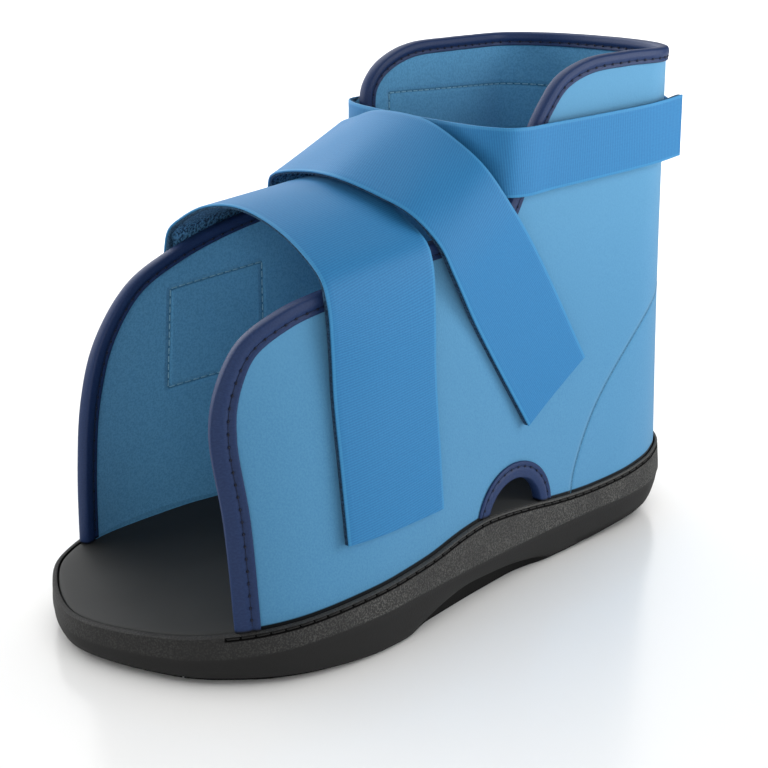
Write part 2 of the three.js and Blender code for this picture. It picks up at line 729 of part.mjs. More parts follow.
addPiece('outsole', buildOutsole(), FINISH.outsole);
addPiece('footbed', buildFootbed(), FINISH.footbed);
addPiece('upper', buildUpper(), FINISH.felt);
addPiece('edge_binding', buildEdgeBinding(), FINISH.tape);
addPiece('notch_binding_lateral', buildNotchBinding(LATERAL), FINISH.tape);
addPiece('notch_binding_medial', buildNotchBinding(MEDIAL), FINISH.tape);
addStrap('forefoot_strap', forefootRows());
addStrap('instep_strap', instepRows());
addStrap('ankle_strap', ankleRows());
addPiece('heel_hook_patch', buildHookPatch(), FINISH.pile);

export default shoe;
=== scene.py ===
"""Looks of an open-toe cast shoe for the left foot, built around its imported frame.

The shoe stands on z = 0 with the toe towards -Y and its outer (lateral) side towards +X. Sizes here are
the maker's millimetres, and a mesh is turned to metres when it is made.
"""

import logging
import math
from dataclasses import dataclass
from enum import Enum
from typing import Callable, NamedTuple, Sequence

import bpy
import numpy as np
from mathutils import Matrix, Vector

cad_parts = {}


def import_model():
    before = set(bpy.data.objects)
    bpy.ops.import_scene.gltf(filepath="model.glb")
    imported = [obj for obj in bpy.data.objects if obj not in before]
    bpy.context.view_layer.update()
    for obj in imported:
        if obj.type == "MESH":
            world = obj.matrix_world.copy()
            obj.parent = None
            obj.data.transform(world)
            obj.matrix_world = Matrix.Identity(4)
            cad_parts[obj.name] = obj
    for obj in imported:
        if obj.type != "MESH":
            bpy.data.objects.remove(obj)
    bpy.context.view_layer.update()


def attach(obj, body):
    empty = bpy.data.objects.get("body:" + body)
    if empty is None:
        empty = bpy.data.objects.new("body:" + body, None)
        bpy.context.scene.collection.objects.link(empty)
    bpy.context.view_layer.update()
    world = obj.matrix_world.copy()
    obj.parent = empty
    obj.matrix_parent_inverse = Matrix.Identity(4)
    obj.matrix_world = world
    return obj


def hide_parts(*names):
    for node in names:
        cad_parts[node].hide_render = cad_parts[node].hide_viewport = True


LOG = logging.getLogger("cast_shoe")
MM = 0.001
BODY = "root"

Array = np.ndarray
Height = Callable[[Array], Array]
Piece = bpy.types.Object
Material = bpy.types.Material
Socket = bpy.types.NodeSocket
Point2 = tuple[float, float]
Point3 = tuple[float, float, float]
SewnLine = tuple[Array, Array]


class Side(Enum):
    """The two sides of the shoe; the value is the sign of x."""

    LATERAL = 1
    MEDIAL = -1


class OutlineRow(NamedTuple):
    """Rim of the sole from above at one place along the shoe."""

    y: float
    lateral: float
    medial: float


class EdgeRow(NamedTuple):
    """Free edge of the upper in side view, on both sides."""

    lateral_y: float
    lateral_z: float
    medial_y: float
    medial_z: float

    def on(self, side: Side) -> Point2:
        """Place along the shoe and height on one side."""
        lateral, medial = (self.lateral_y, self.lateral_z), (self.medial_y, self.medial_z)
        return lateral if side is Side.LATERAL else medial


# Curves


def smooth_step(share: Array) -> Array:
    """Share of the way that starts and ends level."""
    return share * share * (3 - 2 * share)


def rise(values: Array, start: float, span: float) -> Array:
    """Share from 0 at the start to 1 a span further on, held beyond both."""
    return np.clip((values - start) / span, 0, 1)


def rising(values: Array) -> Array:
    """Values that never fall, with a trace of slope where they would stay level."""
    return np.maximum.accumulate(values + 1e-7 * np.arange(len(values)))


def read_rows(rows: Array, at: Array, where: Array) -> Array:
    """Rows of a table, which stand at rising places, read at places between them."""
    return np.stack([np.interp(where, at, column) for column in rows.T], axis=-1)


def lowered(height: Height, drop: float) -> Height:
    """A height along the shoe, moved down."""
    return lambda y: height(y) - drop


def partway(top: Height, foot: Height, share: float) -> Height:
    """Height a share of the way down from one height to another."""
    return lambda y: (1 - share) * top(y) + share * foot(y)


class TableCurve:
    """Smooth curve through the rows of a short table, flat beyond its ends."""

    def __init__(self, *rows: Point2) -> None:
        """Keep the rows and their slopes.

        Args:
            rows: pairs of place and value, in growing order of place.
        """
        self.at, self.value = np.array(rows, float).T
        count = len(rows)
        before = np.maximum(np.arange(count) - 1, 0)
        after = np.minimum(np.arange(count) + 1, count - 1)
        self.slope = (self.value[after] - self.value[before]) / (self.at[after] - self.at[before])

    def __call__(self, where: Array) -> Array:
        """Values of the curve.

        Args:
            where: places along the curve.

        Returns:
            One value for each place.
        """
        where = np.clip(np.asarray(where, float), self.at[0], self.at[-1])
        i = np.clip(np.searchsorted(self.at, where), 1, len(self.at) - 1)
        span = self.at[i] - self.at[i - 1]
        t = (where - self.at[i - 1]) / span
        bend = smooth_step(t)
        level = self.value[i - 1] * (1 - bend) + self.value[i] * bend
        return level + span * t * (1 - t) * ((1 - t) * self.slope[i - 1] - t * self.slope[i])


def smooth_line(points: Array, steps: int, closed: bool = False) -> Array:
    """Smooth curve through points that doesn't overshoot where they lie close together.

    Args:
        points: the points, one row each.
        steps: steps between two points.
        closed: whether the last point joins the first.

    Returns:
        Points along the curve, its own points among them.
    """
    points = np.asarray(points, float)
    if closed:
        run = np.concatenate([points[-1:], points, points[:2]])
    else:
        run = np.concatenate([2 * points[:1] - points[1:2], points, 2 * points[-1:] - points[-2:-1]])
    p0, p1, p2, p3 = run[:-3], run[1:-2], run[2:-1], run[3:]
    knot = [np.linalg.norm(b - a, axis=1, keepdims=True) ** 0.5 for a, b in ((p0, p1), (p1, p2), (p2, p3))]
    d0, d1, d2 = (np.maximum(k, 1e-4) for k in knot)
    start = d1 * ((p1 - p0) / d0 - (p2 - p0) / (d0 + d1) + (p2 - p1) / d1)
    end = d1 * ((p2 - p1) / d1 - (p3 - p1) / (d1 + d2) + (p3 - p2) / d2)
    t = (np.arange(steps) / steps)[None, :, None]
    p1, p2, start, end = (part[:, None, :] for part in (p1, p2, start, end))
    bend = smooth_step(t)
    line = p1 * (1 - bend) + p2 * bend + t * (1 - t) * ((1 - t) * start - t * end)
    line = line.reshape(-1, points.shape[1])
    return line if closed else np.concatenate([line, points[-1:]])


def lengths_along(line: Array) -> Array:
    """Distance of each point from the line's start, along the line."""
    return np.concatenate([[0.0], np.cumsum(np.linalg.norm(np.diff(line, axis=0), axis=1))])


def at_lengths(line: Array, where: Array) -> Array:
    """Points of a line at given distances from its start."""
    return read_rows(line, lengths_along(line), where)


def spread_evenly(line: Array, count: int) -> Array:
    """The line as count even steps."""
    return at_lengths(line, np.linspace(0, lengths_along(line)[-1], count + 1))


def unit(vectors: Array) -> Array:
    """Vectors of length one."""
    return vectors / np.maximum(np.linalg.norm(vectors, axis=-1, keepdims=True), 1e-12)


def outward(ring: Array) -> Array:
    """Directions to the right of travel along a closed plan line, one for each point."""
    along = unit(np.roll(ring, -1, axis=0) - np.roll(ring, 1, axis=0))
    return np.stack([along[:, 1], -along[:, 0]], axis=1)


# Form of the shoe, shared by all its pieces


@dataclass
class ShoeForm:
    """Sizes and curves that the sole, the upper and the straps share."""

    half_length: float = 142.5
    gap: float = 0.3
    rim_width: TableCurve = TableCurve(
        (-143, 2.4), (-115, 2.4), (-95, 2.6), (-10, 2.6), (70, 1.7), (143, 1.6)
    )
    rim_skew: float = 0.8
    rim_skew_fade: Point2 = (-105, -10)
    rim_step: float = 0.2
    bed_dip: TableCurve = TableCurve(
        (-143, 0), (-112, 0), (-100, 0.7), (-88, 1.5), (-75, 1.7), (-62, 1.2), (-50, 0.5), (-38, 0), (143, 0)
    )
    footbed_thickness: float = 6.9
    toe_tip: float = -12.5
    heel_tip: float = -2.0
    outline: tuple[OutlineRow, ...] = (
        OutlineRow(-128, 30, -48.5),
        OutlineRow(-114, 45.8, -58.2),
        OutlineRow(-100, 55, -61.9),
        OutlineRow(-85, 60, -62.3),
        OutlineRow(-62, 62.3, -58.5),
        OutlineRow(-36, 59.6, -50),
        OutlineRow(0, 53.2, -39.6),
        OutlineRow(36, 48, -34.8),
        OutlineRow(71, 45.5, -35),
        OutlineRow(100, 43.9, -38.5),
        OutlineRow(116, 40.2, -39),
        OutlineRow(130, 30.9, -33.4),
    )
    rim_z: TableCurve = TableCurve(
        (-143, 15.4), (-114, 19.6), (-95, 22.1), (-70, 25.1), (-50, 26.7), (-32, 28.3), (-15, 30.9),
        (0, 32.1), (12, 31.3), (30, 29), (48, 26.5), (70, 25.1), (90, 25.7), (110, 27.7), (127, 30),
        (143, 32)
    )
    ridge_z: TableCurve = TableCurve(
        (-143, 9), (-118, 11), (-100, 13.3), (-80, 15.6), (-50, 17.3), (-30, 17.3), (0, 16.2), (30, 15.2),
        (70, 15), (105, 15.4), (143, 18.5)
    )
    arch_z: TableCurve = TableCurve(
        (-44, 0.8), (-38, 3), (-30, 5.2), (-20, 7.3), (-10, 8.3), (4, 7.6), (20, 6.3), (34, 4), (47, 1)
    )
    edge_rise: TableCurve = TableCurve(
        (-143, 0.8), (-125, 1.6), (-112, 2.2), (-95, 2.1), (-80, 1.5), (-65, 0.7), (-50, 0.4), (50, 0.3),
        (70, 0.9), (90, 1.7), (105, 0.9), (143, 0.8)
    )
    toe_spring: Point3 = (-85, 1.6, 1.8)
    heel_spring: Point3 = (80, 10.4, 1.6)
    wall: float = 3.0
    collar_height: float = 201.0
    collar_x: float = 1.2
    collar_half_width: float = 45.7
    collar_taper: float = 0.0733
    collar_arc_y: float = 94.0
    collar_arc_depth: float = 27.5
    collar_squareness: float = 2.2
    front_y: float = -124.0
    rim_steps: int = 40
    foot_stations: int = 160
    collar_steps: int = 80
    wall_samples: int = 1200
    edge_samples: int = 170
    heel_samples: int = 40
    facing_reach: float = 0.006
    edge: tuple[EdgeRow, ...] = (
        EdgeRow(-111, 6, -109.7, 6),
        EdgeRow(-111.6, 58, -113, 52),
        EdgeRow(-113.7, 91, -112, 80.5),
        EdgeRow(-110, 107, -106.3, 102),
        EdgeRow(-102.2, 119.5, -92.4, 121.6),
        EdgeRow(-86.5, 128, -74, 132),
        EdgeRow(-66.4, 132.6, -46.3, 141.3),
        EdgeRow(-34, 139.5, -18.4, 146),
        EdgeRow(1, 142.6, 0.6, 146.6),
        EdgeRow(15.6, 146, 14.4, 152),
        EdgeRow(23, 156.6, 17.4, 163.8),
        EdgeRow(30.7, 175, 18, 184.2),
        EdgeRow(37, 184.8, 23.3, 191.7),
        EdgeRow(45.2, 193.7, 32, 196.8),
        EdgeRow(59, 199.2, 45, 200.2),
        EdgeRow(82, 201, 72, 201),
    )
    notch_y: float = 21.2
    notch_z: float = 26.0
    notch_half_width: float = 18.0
    notch_height: float = 16.8

    def __post_init__(self) -> None:
        """Work out the rim, the foot of the upper and the collar as dense lines.

        flat turns runs and heights on the upper's wall into flat millimetres.
        """
        lateral = [(row.lateral, row.y) for row in self.outline]
        medial = [(row.medial, row.y) for row in reversed(self.outline)]
        toe, heel = (self.toe_tip, -self.half_length), (self.heel_tip, self.half_length)
        loop = smooth_line(np.array([toe, *lateral, heel, *medial]), self.rim_steps, closed=True)
        heel_at = self.rim_steps * (len(lateral) + 1)
        self.rim_sides = {
            Side.LATERAL: loop[: heel_at + 1],
            Side.MEDIAL: np.concatenate([loop[heel_at:], loop[:1]])[::-1],
        }
        self.foot_line = self._foot_line()
        self.collar_line = self._collar_line()
        self.flat = np.array([lengths_along(self.foot_line)[-1], 1.0])

    def spaced(self, count: int) -> Array:
        """Places along the shoe, closer together towards the toe and the heel."""
        return -self.half_length * np.cos(np.pi * np.arange(count + 1) / count)

    def rim_ring(self, y: Array) -> Array:
        """Rim from above: toe tip, lateral side, heel tip, medial side.

        Args:
            y: rising places along the shoe, from the toe tip to the heel tip.

        Returns:
            Plan points, one for each place on both sides.
        """
        sides = {}
        for side, line in self.rim_sides.items():
            sides[side] = np.stack([np.interp(y, rising(line[:, 1]), line[:, 0]), y], axis=1)
        return np.concatenate([sides[Side.LATERAL], sides[Side.MEDIAL][-2:0:-1]])

    def rim_widths(self, ring: Array) -> Array:
        """Width of the rim's flat top round a ring, less on the medial side of the toe."""
        toe = rise(ring[:, 1], *self.rim_skew_fade)
        return self.rim_width(ring[:, 1]) + self.rim_skew * toe * outward(ring)[:, 0]

    def bed_z(self, y: Array) -> Array:
        """Height of the footbed's top."""
        return self.rim_z(y) - self.rim_step - self.bed_dip(y)

    def ground_z(self, y: Array) -> Array:
        """Height of the sole's underside, which springs up at the toe and the heel.

        Args:
            y: places along the shoe.

        Returns:
            One height for each place.
        """
        toe_from, toe_rise, toe_power = self.toe_spring
        heel_from, heel_rise, heel_power = self.heel_spring
        toe = np.maximum(0, (toe_from - y) / (self.half_length + toe_from))
        heel = np.maximum(0, (y - heel_from) / (self.half_length - heel_from))
        return toe_rise * toe**toe_power + heel_rise * heel**heel_power

    def _foot_line(self) -> Array:
        """Foot of the upper from above, inside the rim, from the lateral front round the heel.

        Returns:
            Plan points.
        """
        ring = self.rim_ring(self.spaced(self.foot_stations))
        inside = ring - outward(ring) * (self.rim_width(ring[:, 1]) + self.gap)[:, None]
        kept = inside[1:][inside[1:, 1] > self.front_y]
        return spread_evenly(kept, self.wall_samples)

    def _collar_line(self) -> Array:
        """Collar from above: two sides that close in towards the front, and a round heel.

        Returns:
            Plan points.
        """
        front = self.collar_half_width - self.collar_taper * (self.collar_arc_y - self.front_y)
        angle = np.linspace(0, np.pi, self.collar_steps + 1)
        power = 2 / self.collar_squareness
        across = np.sign(np.cos(angle)) * np.abs(np.cos(angle)) ** power
        x = self.collar_x + self.collar_half_width * across
        y = self.collar_arc_y + self.collar_arc_depth * np.abs(np.sin(angle)) ** power
        ends = [(self.collar_x + sign * front, self.front_y) for sign in (1, -1)]
        arc = np.stack([x, y], axis=1)
        return spread_evenly(np.concatenate([ends[:1], arc, ends[1:]]), self.wall_samples)

    def plan(self, run: Array, z: Array) -> Array:
        """Outer face of the upper from above, straight from the rim to the collar.

        Args:
            run: share of the way from the lateral front round the heel to the medial front.
            z: heights.

        Returns:
            Plan points.
        """
        at = np.clip(run, 0, 1) * self.wall_samples
        index = np.arange(self.wall_samples + 1)
        foot, collar = (read_rows(line, index, at) for line in (self.foot_line, self.collar_line))
        rim = self.rim_z(foot[..., 1])
        share = np.maximum(0, (z - rim) / (self.collar_height - rim))
        return foot + (collar - foot) * share[..., None]

    def facing(self, run: Array, z: Array) -> Array:
        """Outward directions of the upper's wall, level with the ground.

        Args:
            run: share of the way round the upper.
            z: heights.

        Returns:
            One direction for each place.
        """
        reach = self.facing_reach
        along = unit(self.plan(run + reach, z) - self.plan(run - reach, z))
        return np.stack([along[..., 1], -along[..., 0], np.zeros_like(along[..., 0])], axis=-1)

    def on_wall(self, run: Array, z: Array, lift: float | Array = 0.0) -> Array:
        """Points on the upper's wall.

        Args:
            run: share of the way round the upper.
            z: heights.
            lift: distance off the outer face, negative towards the inside.

        Returns:
            Points in space.
        """
        run, z = np.broadcast_arrays(np.asarray(run, float), np.asarray(z, float))
        level = np.concatenate([self.plan(run, z), z[..., None]], axis=-1)
        return level + self.facing(run, z) * np.asarray(lift, float)[..., None]

    def run_at(self, side: Side, y: Array, z: Array) -> Array:
        """Share of the way round at which the wall has a place along the shoe, at a height.

        Args:
            side: which side.
            y: places along the shoe.
            z: heights.

        Returns:
            One run for each place.
        """
        half = np.linspace(0, 0.5, self.wall_samples // 2 + 1)
        runs = half if side is Side.LATERAL else 1 - half
        found = []
        for y_one, z_one in np.broadcast(np.atleast_1d(y), np.atleast_1d(z)):
            line = self.plan(runs, np.full(len(runs), z_one))[:, 1]
            found.append(float(np.interp(y_one, rising(line), runs)))
        return np.array(found)

    def side_point(self, side: Side, y: float, z: float, lift: float = 0.0) -> Array:
        """Point on one side of the upper, moved sideways off its outer face."""
        x, y = self.plan(self.run_at(side, y, z), np.array([z]))[0]
        return np.array([x + side.value * lift, y, z])

    def edge_line(self, side: Side, above_rim: float) -> Array:
        """Free edge of one side, from its foot to the middle of the heel.

        Args:
            side: which side.
            above_rim: height over the rim at which the edge starts.

        Returns:
            Rows of run and height.
        """
        rows = np.array([row.on(side) for row in self.edge])
        line = spread_evenly(smooth_line(rows, 10), self.edge_samples)
        foot = self.rim_z(line[:, 0]) + above_rim
        first = int(np.argmax(line[:, 1] > foot))
        share = (foot[first] - line[first - 1, 1]) / (line[first, 1] - line[first - 1, 1])
        start = line[first - 1] + share * (line[first] - line[first - 1])
        line = np.concatenate([start[None], line[first:]])
        runs = self.run_at(side, line[:, 0], line[:, 1])
        back = np.linspace(runs[-1], 0.5, self.heel_samples)[1:]
        heel = np.stack([back, np.full(len(back), self.collar_height)], axis=1)
        return np.concatenate([np.stack([runs, line[:, 1]], axis=1), heel])

    def notch_top(self, y: Array) -> Array:
        """Height of the notch's arch, or nothing beside it."""
        inside = 1 - ((y - self.notch_y) / self.notch_half_width) ** 2
        return np.where(inside > 0, self.notch_z + self.notch_height * np.sqrt(np.maximum(inside, 0)), 0)


# Mesh work


def deselect() -> None:
    """Leave edit mode with nothing selected."""
    if bpy.context.mode != "OBJECT":
        bpy.ops.object.mode_set(mode="OBJECT")
    bpy.ops.object.select_all(action="DESELECT")


def pick(piece: Piece) -> None:
    """Make a piece the only selected and active object."""
    deselect()
    piece.select_set(True)
    bpy.context.view_layer.objects.active = piece


def lay_grid(name: str, points: Array, weave: Array | None = None) -> Piece:
    """Grid laid along rows of points.

    Args:
        name: name of the piece.
        points: rows by columns of points, in millimetres.
        weave: rows by columns of flat cloth coordinates, in millimetres.

    Returns:
        The new object, at the origin.
    """
    rows, columns = points.shape[:2]
    deselect()
    bpy.ops.mesh.primitive_grid_add(x_subdivisions=columns - 1, y_subdivisions=rows - 1, size=1)
    piece = bpy.context.active_object
    piece.name = piece.data.name = name
    mesh = piece.data
    mesh.vertices.foreach_set("co", (points.reshape(-1, 3) * MM).astype(np.float32).ravel())
    while mesh.uv_layers:
        mesh.uv_layers.remove(mesh.uv_layers[0])
    if weave is not None:
        owners = np.zeros(len(mesh.loops), np.int32)
        mesh.loops.foreach_get("vertex_index", owners)
        flat = (weave.reshape(-1, 2) * MM)[owners]
        mesh.uv_layers.new(name="weave").data.foreach_set("uv", flat.astype(np.float32).ravel())
    mesh.update()
    return piece


def close_up(piece: Piece, caps: bool = True) -> None:
    """Merge the seams of a piece, fill its open ends and turn its faces outwards.

    Args:
        piece: the piece to close.
        caps: whether open ends are filled.
    """
    pick(piece)
    bpy.ops.object.mode_set(mode="EDIT")
    bpy.ops.mesh.select_mode(type="VERT")
    bpy.ops.mesh.select_all(action="SELECT")
    bpy.ops.mesh.remove_doubles(threshold=0.02 * MM)
    bpy.ops.mesh.select_all(action="SELECT")
    bpy.ops.mesh.dissolve_degenerate(threshold=0.005 * MM)
    if caps:
        bpy.ops.mesh.select_all(action="DESELECT")
        bpy.ops.mesh.select_non_manifold()
        bpy.ops.mesh.fill_holes(sides=0)
    bpy.ops.mesh.select_all(action="SELECT")
    bpy.ops.mesh.normals_make_consistent(inside=False)
    bpy.ops.object.mode_set(mode="OBJECT")


def join(pieces: Sequence[Piece]) -> Piece:
    """Join objects into the first one and return it.

    Args:
        pieces: the objects, which become one.

    Returns:
        The first of them.
    """
    deselect()
    for piece in pieces:
        piece.select_set(True)
    bpy.context.view_layer.objects.active = pieces[0]
    bpy.ops.object.join()
    return pieces[0]


def apply_modifier(piece: Piece, kind: str, **settings: object) -> None:
    """Add a modifier with its settings and apply it.

    Args:
        piece: the piece to change.
        kind: type of the modifier.
        settings: its settings by name.
    """
    pick(piece)
    modifier = piece.modifiers.new(kind.lower(), kind)
    for key, value in settings.items():
        setattr(modifier, key, value)
    bpy.ops.object.modifier_apply(modifier=modifier.name)


def smooth_faces(piece: Piece, degrees: float = 50) -> None:
    """Shade a piece smooth except along its sharp edges."""
    pick(piece)
    bpy.ops.object.shade_smooth_by_angle(angle=math.radians(degrees))


def mark_points(piece: Piece, name: str, values: Array) -> None:
    """Store one number for each point of a piece, for its material."""
    attribute = piece.data.attributes.new(name, "FLOAT", "POINT")
    attribute.data.foreach_set("value", values.astype(np.float32).ravel())


def point_places(piece: Piece) -> Array:
    """Points of a piece in millimetres.

    Args:
        piece: the piece.

    Returns:
        One row for each point.
    """
    places = np.zeros(3 * len(piece.data.vertices), np.float32)
    piece.data.vertices.foreach_get("co", places)
    return places.reshape(-1, 3).astype(float) / MM


def dress(piece: Piece, material: Material, slot: str, *nodes: str) -> Piece:
    """Give a piece its finish and its place in the frame.

    Args:
        piece: the finished piece.
        material: its finish.
        slot: not used.
        nodes: frame nodes that the piece stands for.

    Returns:
        The same piece.
    """
    piece.data.materials.clear()
    piece.data.materials.append(material)
    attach(piece, BODY)
    if nodes:
        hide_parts(*nodes)
    LOG.info("%s: %d faces", piece.name, len(piece.data.polygons))
    return piece


# Stitches


@dataclass(frozen=True)
class StitchKind:
    """Length, spacing and thickness of a row of stitches, in millimetres."""

    length: float
    pitch: float
    thickness: float
    sides: int = 6
    bevel: float = 0.3

    def model(self) -> tuple[Array, list[tuple[int, ...]]]:
        """One stitch along +X, a short rod with bevelled edges.

        Returns:
            Points and faces of one stitch.
        """
        deselect()
        bpy.ops.mesh.primitive_cylinder_add(
            vertices=self.sides, radius=self.thickness / 2, depth=self.length, rotation=(0, math.pi / 2, 0)
        )
        stitch = bpy.context.active_object
        bpy.ops.object.transform_apply(location=True, rotation=True, scale=True)
        bpy.ops.object.mode_set(mode="EDIT")
        bpy.ops.mesh.select_all(action="SELECT")
        bpy.ops.mesh.bevel(offset=self.bevel * self.thickness, segments=1, affect="EDGES")
        bpy.ops.object.mode_set(mode="OBJECT")
        mesh = stitch.data
        points = np.array([v.co for v in mesh.vertices], float)
        faces = [tuple(face.vertices) for face in mesh.polygons]
        bpy.data.objects.remove(stitch)
        bpy.data.meshes.remove(mesh)
        return points, faces


def sew(name: str, lines: Sequence[SewnLine], kind: StitchKind) -> Piece:
    """Rows of stitches along lines.

    Args:
        name: name of the piece.
        lines: pairs of points along a line and the directions that face out of the cloth there.
        kind: the stitch.

    Returns:
        One object with every stitch of these rows.
    """
    base, faces = kind.model()
    points, all_faces = [], []
    reach = 0.4
    for line, facing in lines:
        total = lengths_along(line)[-1]
        count = max(1, int(round(total / kind.pitch)))
        middle = (np.arange(count) + 0.5) * total / count
        along = unit(at_lengths(line, middle + reach) - at_lengths(line, middle - reach))
        across = unit(np.cross(unit(read_rows(facing, lengths_along(line), middle)), along))
        out = np.cross(along, across)
        for c, a, b, n in zip(at_lengths(line, middle), along, across, out):
            shift = len(points) * len(base)
            points.append(c + base[:, :1] * a + base[:, 1:2] * b + base[:, 2:] * n)
            all_faces.extend(tuple(i + shift for i in face) for face in faces)
    mesh = bpy.data.meshes.new(name)
    mesh.from_pydata((np.concatenate(points) * MM).tolist(), [], all_faces)
    piece = bpy.data.objects.new(name, mesh)
    bpy.context.scene.collection.objects.link(piece)
    smooth_faces(piece, 60)
    return piece


# Finishes


def linear(colour: str) -> tuple[float, float, float, float]:
    """Linear colour of an sRGB hex value such as #6ba3cc.

    Args:
        colour: the hex value.

    Returns:
        Linear RGBA.
    """
    parts = [int(colour[i : i + 2], 16) / 255 for i in (1, 3, 5)]
    red, green, blue = (p / 12.92 if p <= 0.04045 else ((p + 0.055) / 1.055) ** 2.4 for p in parts)
    return red, green, blue, 1.0


def add_node(
    tree: bpy.types.NodeTree, kind: str, settings: dict | None = None, **inputs: object
) -> bpy.types.Node:
    """Add a node with its settings and inputs.

    Args:
        tree: the material's node tree.
        kind: the node's type.
        settings: properties of the node itself.
        inputs: input names, with _ for a space, or in and a number; an output socket is linked, and
            anything else is set as the input's value.

    Returns:
        The new node.
    """
    node = tree.nodes.new(kind)
    for key, value in (settings or {}).items():
        setattr(node, key, value)
    for key, value in inputs.items():
        numbered = key[:2] == "in" and key[2:].isdigit()
        socket = node.inputs[int(key[2:]) if numbered else key.replace("_", " ")]
        if isinstance(value, Socket):
            tree.links.new(value, socket)
        else:
            socket.default_value = value
    return node


class Shade:
    """A material under construction: its tree, its shader and the coordinates it reads."""

    def __init__(self, name: str, colour: str, roughness: float, **inputs: object) -> None:
        """Start a material from its plain colour and roughness.

        Args:
            name: the material's name.
            colour: sRGB hex value.
            roughness: plain roughness of the surface.
            inputs: further inputs of the shader, with _ for a space.
        """
        self.material = bpy.data.materials.new(name)
        self.material.use_nodes = True
        self.tree = self.material.node_tree
        self.tree.nodes.clear()
        base = linear(colour)
        self.shader = self.add("ShaderNodeBsdfPrincipled", Base_Color=base, Roughness=roughness, **inputs)
        self.add("ShaderNodeOutputMaterial", Surface=self.shader.outputs["BSDF"])
        self.material.diffuse_color = base

    def add(self, kind: str, settings: dict | None = None, **inputs: object) -> bpy.types.Node:
        """Add a node to this material."""
        return add_node(self.tree, kind, settings, **inputs)

    def place(self) -> Socket:
        """Object coordinates, in metres."""
        return self.add("ShaderNodeTexCoord").outputs["Object"]

    def cloth(self) -> Socket:
        """Flat cloth coordinates, in metres: across and along."""
        return self.add("ShaderNodeUVMap", {"uv_map": "weave"}).outputs["UV"]

    def parts(self, where: Socket) -> bpy.types.NodeOutputs:
        """Coordinates as single numbers X, Y and Z."""
        return self.add("ShaderNodeSeparateXYZ", Vector=where).outputs

    def number(self, name: str) -> Socket:
        """A number stored for each point of the piece."""
        return self.add("ShaderNodeAttribute", {"attribute_name": name}).outputs["Fac"]

    def noise(self, where: Socket, grain_mm: float, detail: float = 2.0) -> Socket:
        """Noise whose lumps are about grain_mm across."""
        node = self.add("ShaderNodeTexNoise", Vector=where, Scale=1 / (grain_mm * MM), Detail=detail)
        return node.outputs["Fac"]

    def math(self, operation: str, first: object, second: object = 0.0) -> Socket:
        """Result of a sum on two numbers or sockets."""
        return self.add("ShaderNodeMath", {"operation": operation}, in0=first, in1=second).outputs[0]

    def times(self, first: Socket, second: object) -> Socket:
        """Product of two numbers or sockets."""
        return self.math("MULTIPLY", first, second)

    def without(self, value: Socket) -> Socket:
        """What is left of 1 without the value."""
        return self.math("SUBTRACT", 1.0, value)

    def waves(self, value: Socket, pitch_mm: float) -> Socket:
        """Waves along a coordinate."""
        return self.math("SINE", self.times(value, 2 * math.pi / (pitch_mm * MM)))

    def ramp(self, value: Socket, low: float, high: float) -> Socket:
        """The value stretched so that low becomes 0 and high becomes 1."""
        smooth = {"interpolation_type": "SMOOTHSTEP"}
        node = self.add("ShaderNodeMapRange", smooth, Value=value, From_Min=low, From_Max=high)
        return node.outputs["Result"]

    def blend(self, share: Socket, first: object, second: object) -> Socket:
        """Mix of two colours, each an sRGB hex value or a socket."""
        first, second = (linear(colour) if isinstance(colour, str) else colour for colour in (first, second))
        return self.add("ShaderNodeMix", {"data_type": "RGBA"}, in0=share, in6=first, in7=second).outputs[2]

    def paint(self, colour: Socket) -> None:
        """Colour of the surface."""
        self.tree.links.new(colour, self.shader.inputs["Base Color"])

    def emboss(self, height: Socket, depth_mm: float, strength: float) -> None:
        """Relief of the surface, from 0 to 1 times depth_mm."""
        bump = self.add("ShaderNodeBump", Height=height, Distance=depth_mm * MM, Strength=strength)
        self.tree.links.new(bump.outputs["Normal"], self.shader.inputs["Normal"])


@dataclass(frozen=True)
class MouldedFoam:
    """Moulded EVA foam: a finely pebbled band over the ridge, a smoother, darker one below, matt all over,
    with a painted highlight on the rim and painted shade in the groove, the crevices and the underside.
    """

    band: str = "#323232"
    # Smooth lower band: darker for its smoother skin, and also as painted shade, since it faces down.
    foot: str = "#222222"
    pebble: str = "#62625f"
    # Near-black painted shade for the stitch groove, the crevice at the rim's inner edge and the underside.
    painted_shade: str = "#060606"
    # Painted highlight on the rim's top edge.
    rim: str = "#50504e"
    grain_mm: float = 0.65
    patch_mm: float = 14

    def material(self) -> Material:
        """Build the material."""
        shade = Shade("moulded_eva_foam", self.band, 0.65, Specular_IOR_Level=0.14)
        place = shade.place()
        pebbles = shade.ramp(shade.noise(place, self.grain_mm, 1), 0.4, 0.72)
        patches = shade.ramp(shade.noise(place, self.patch_mm, 1), 0.3, 0.7)
        grain = shade.number("grain")
        specks = shade.times(pebbles, shade.math("ADD", 0.35, shade.times(patches, 0.35)))
        lit = shade.blend(specks, self.band, self.pebble)
        # Painted highlight on the rim's top, over the band or the lower band.
        colour = shade.blend(shade.number("rim"), shade.blend(grain, self.foot, lit), self.rim)
        # Painted shade in the groove, the crevices and the underside.
        shade.paint(shade.blend(shade.number("groove"), colour, self.painted_shade))
        floor = shade.math("ADD", shade.times(grain, 0.85), 0.15)
        shade.emboss(shade.times(pebbles, floor), 0.2, 0.9)
        return shade.material


@dataclass(frozen=True)
class SatinFoam:
    """Skinned EVA foam of the footbed: smooth, satin, with faint marks."""

    colour: str = "#323333"
    worn: str = "#353636"

    def material(self) -> Material:
        """Build the material."""
        shade = Shade("skinned_eva_foam", self.colour, 0.6, Specular_IOR_Level=0.1)
        place = shade.place()
        clouds = shade.noise(place, 28, 3)
        shade.paint(shade.blend(shade.ramp(clouds, 0.35, 0.7), self.colour, self.worn))
        shade.emboss(shade.noise(place, 0.8, 2), 0.02, 0.4)
        return shade.material


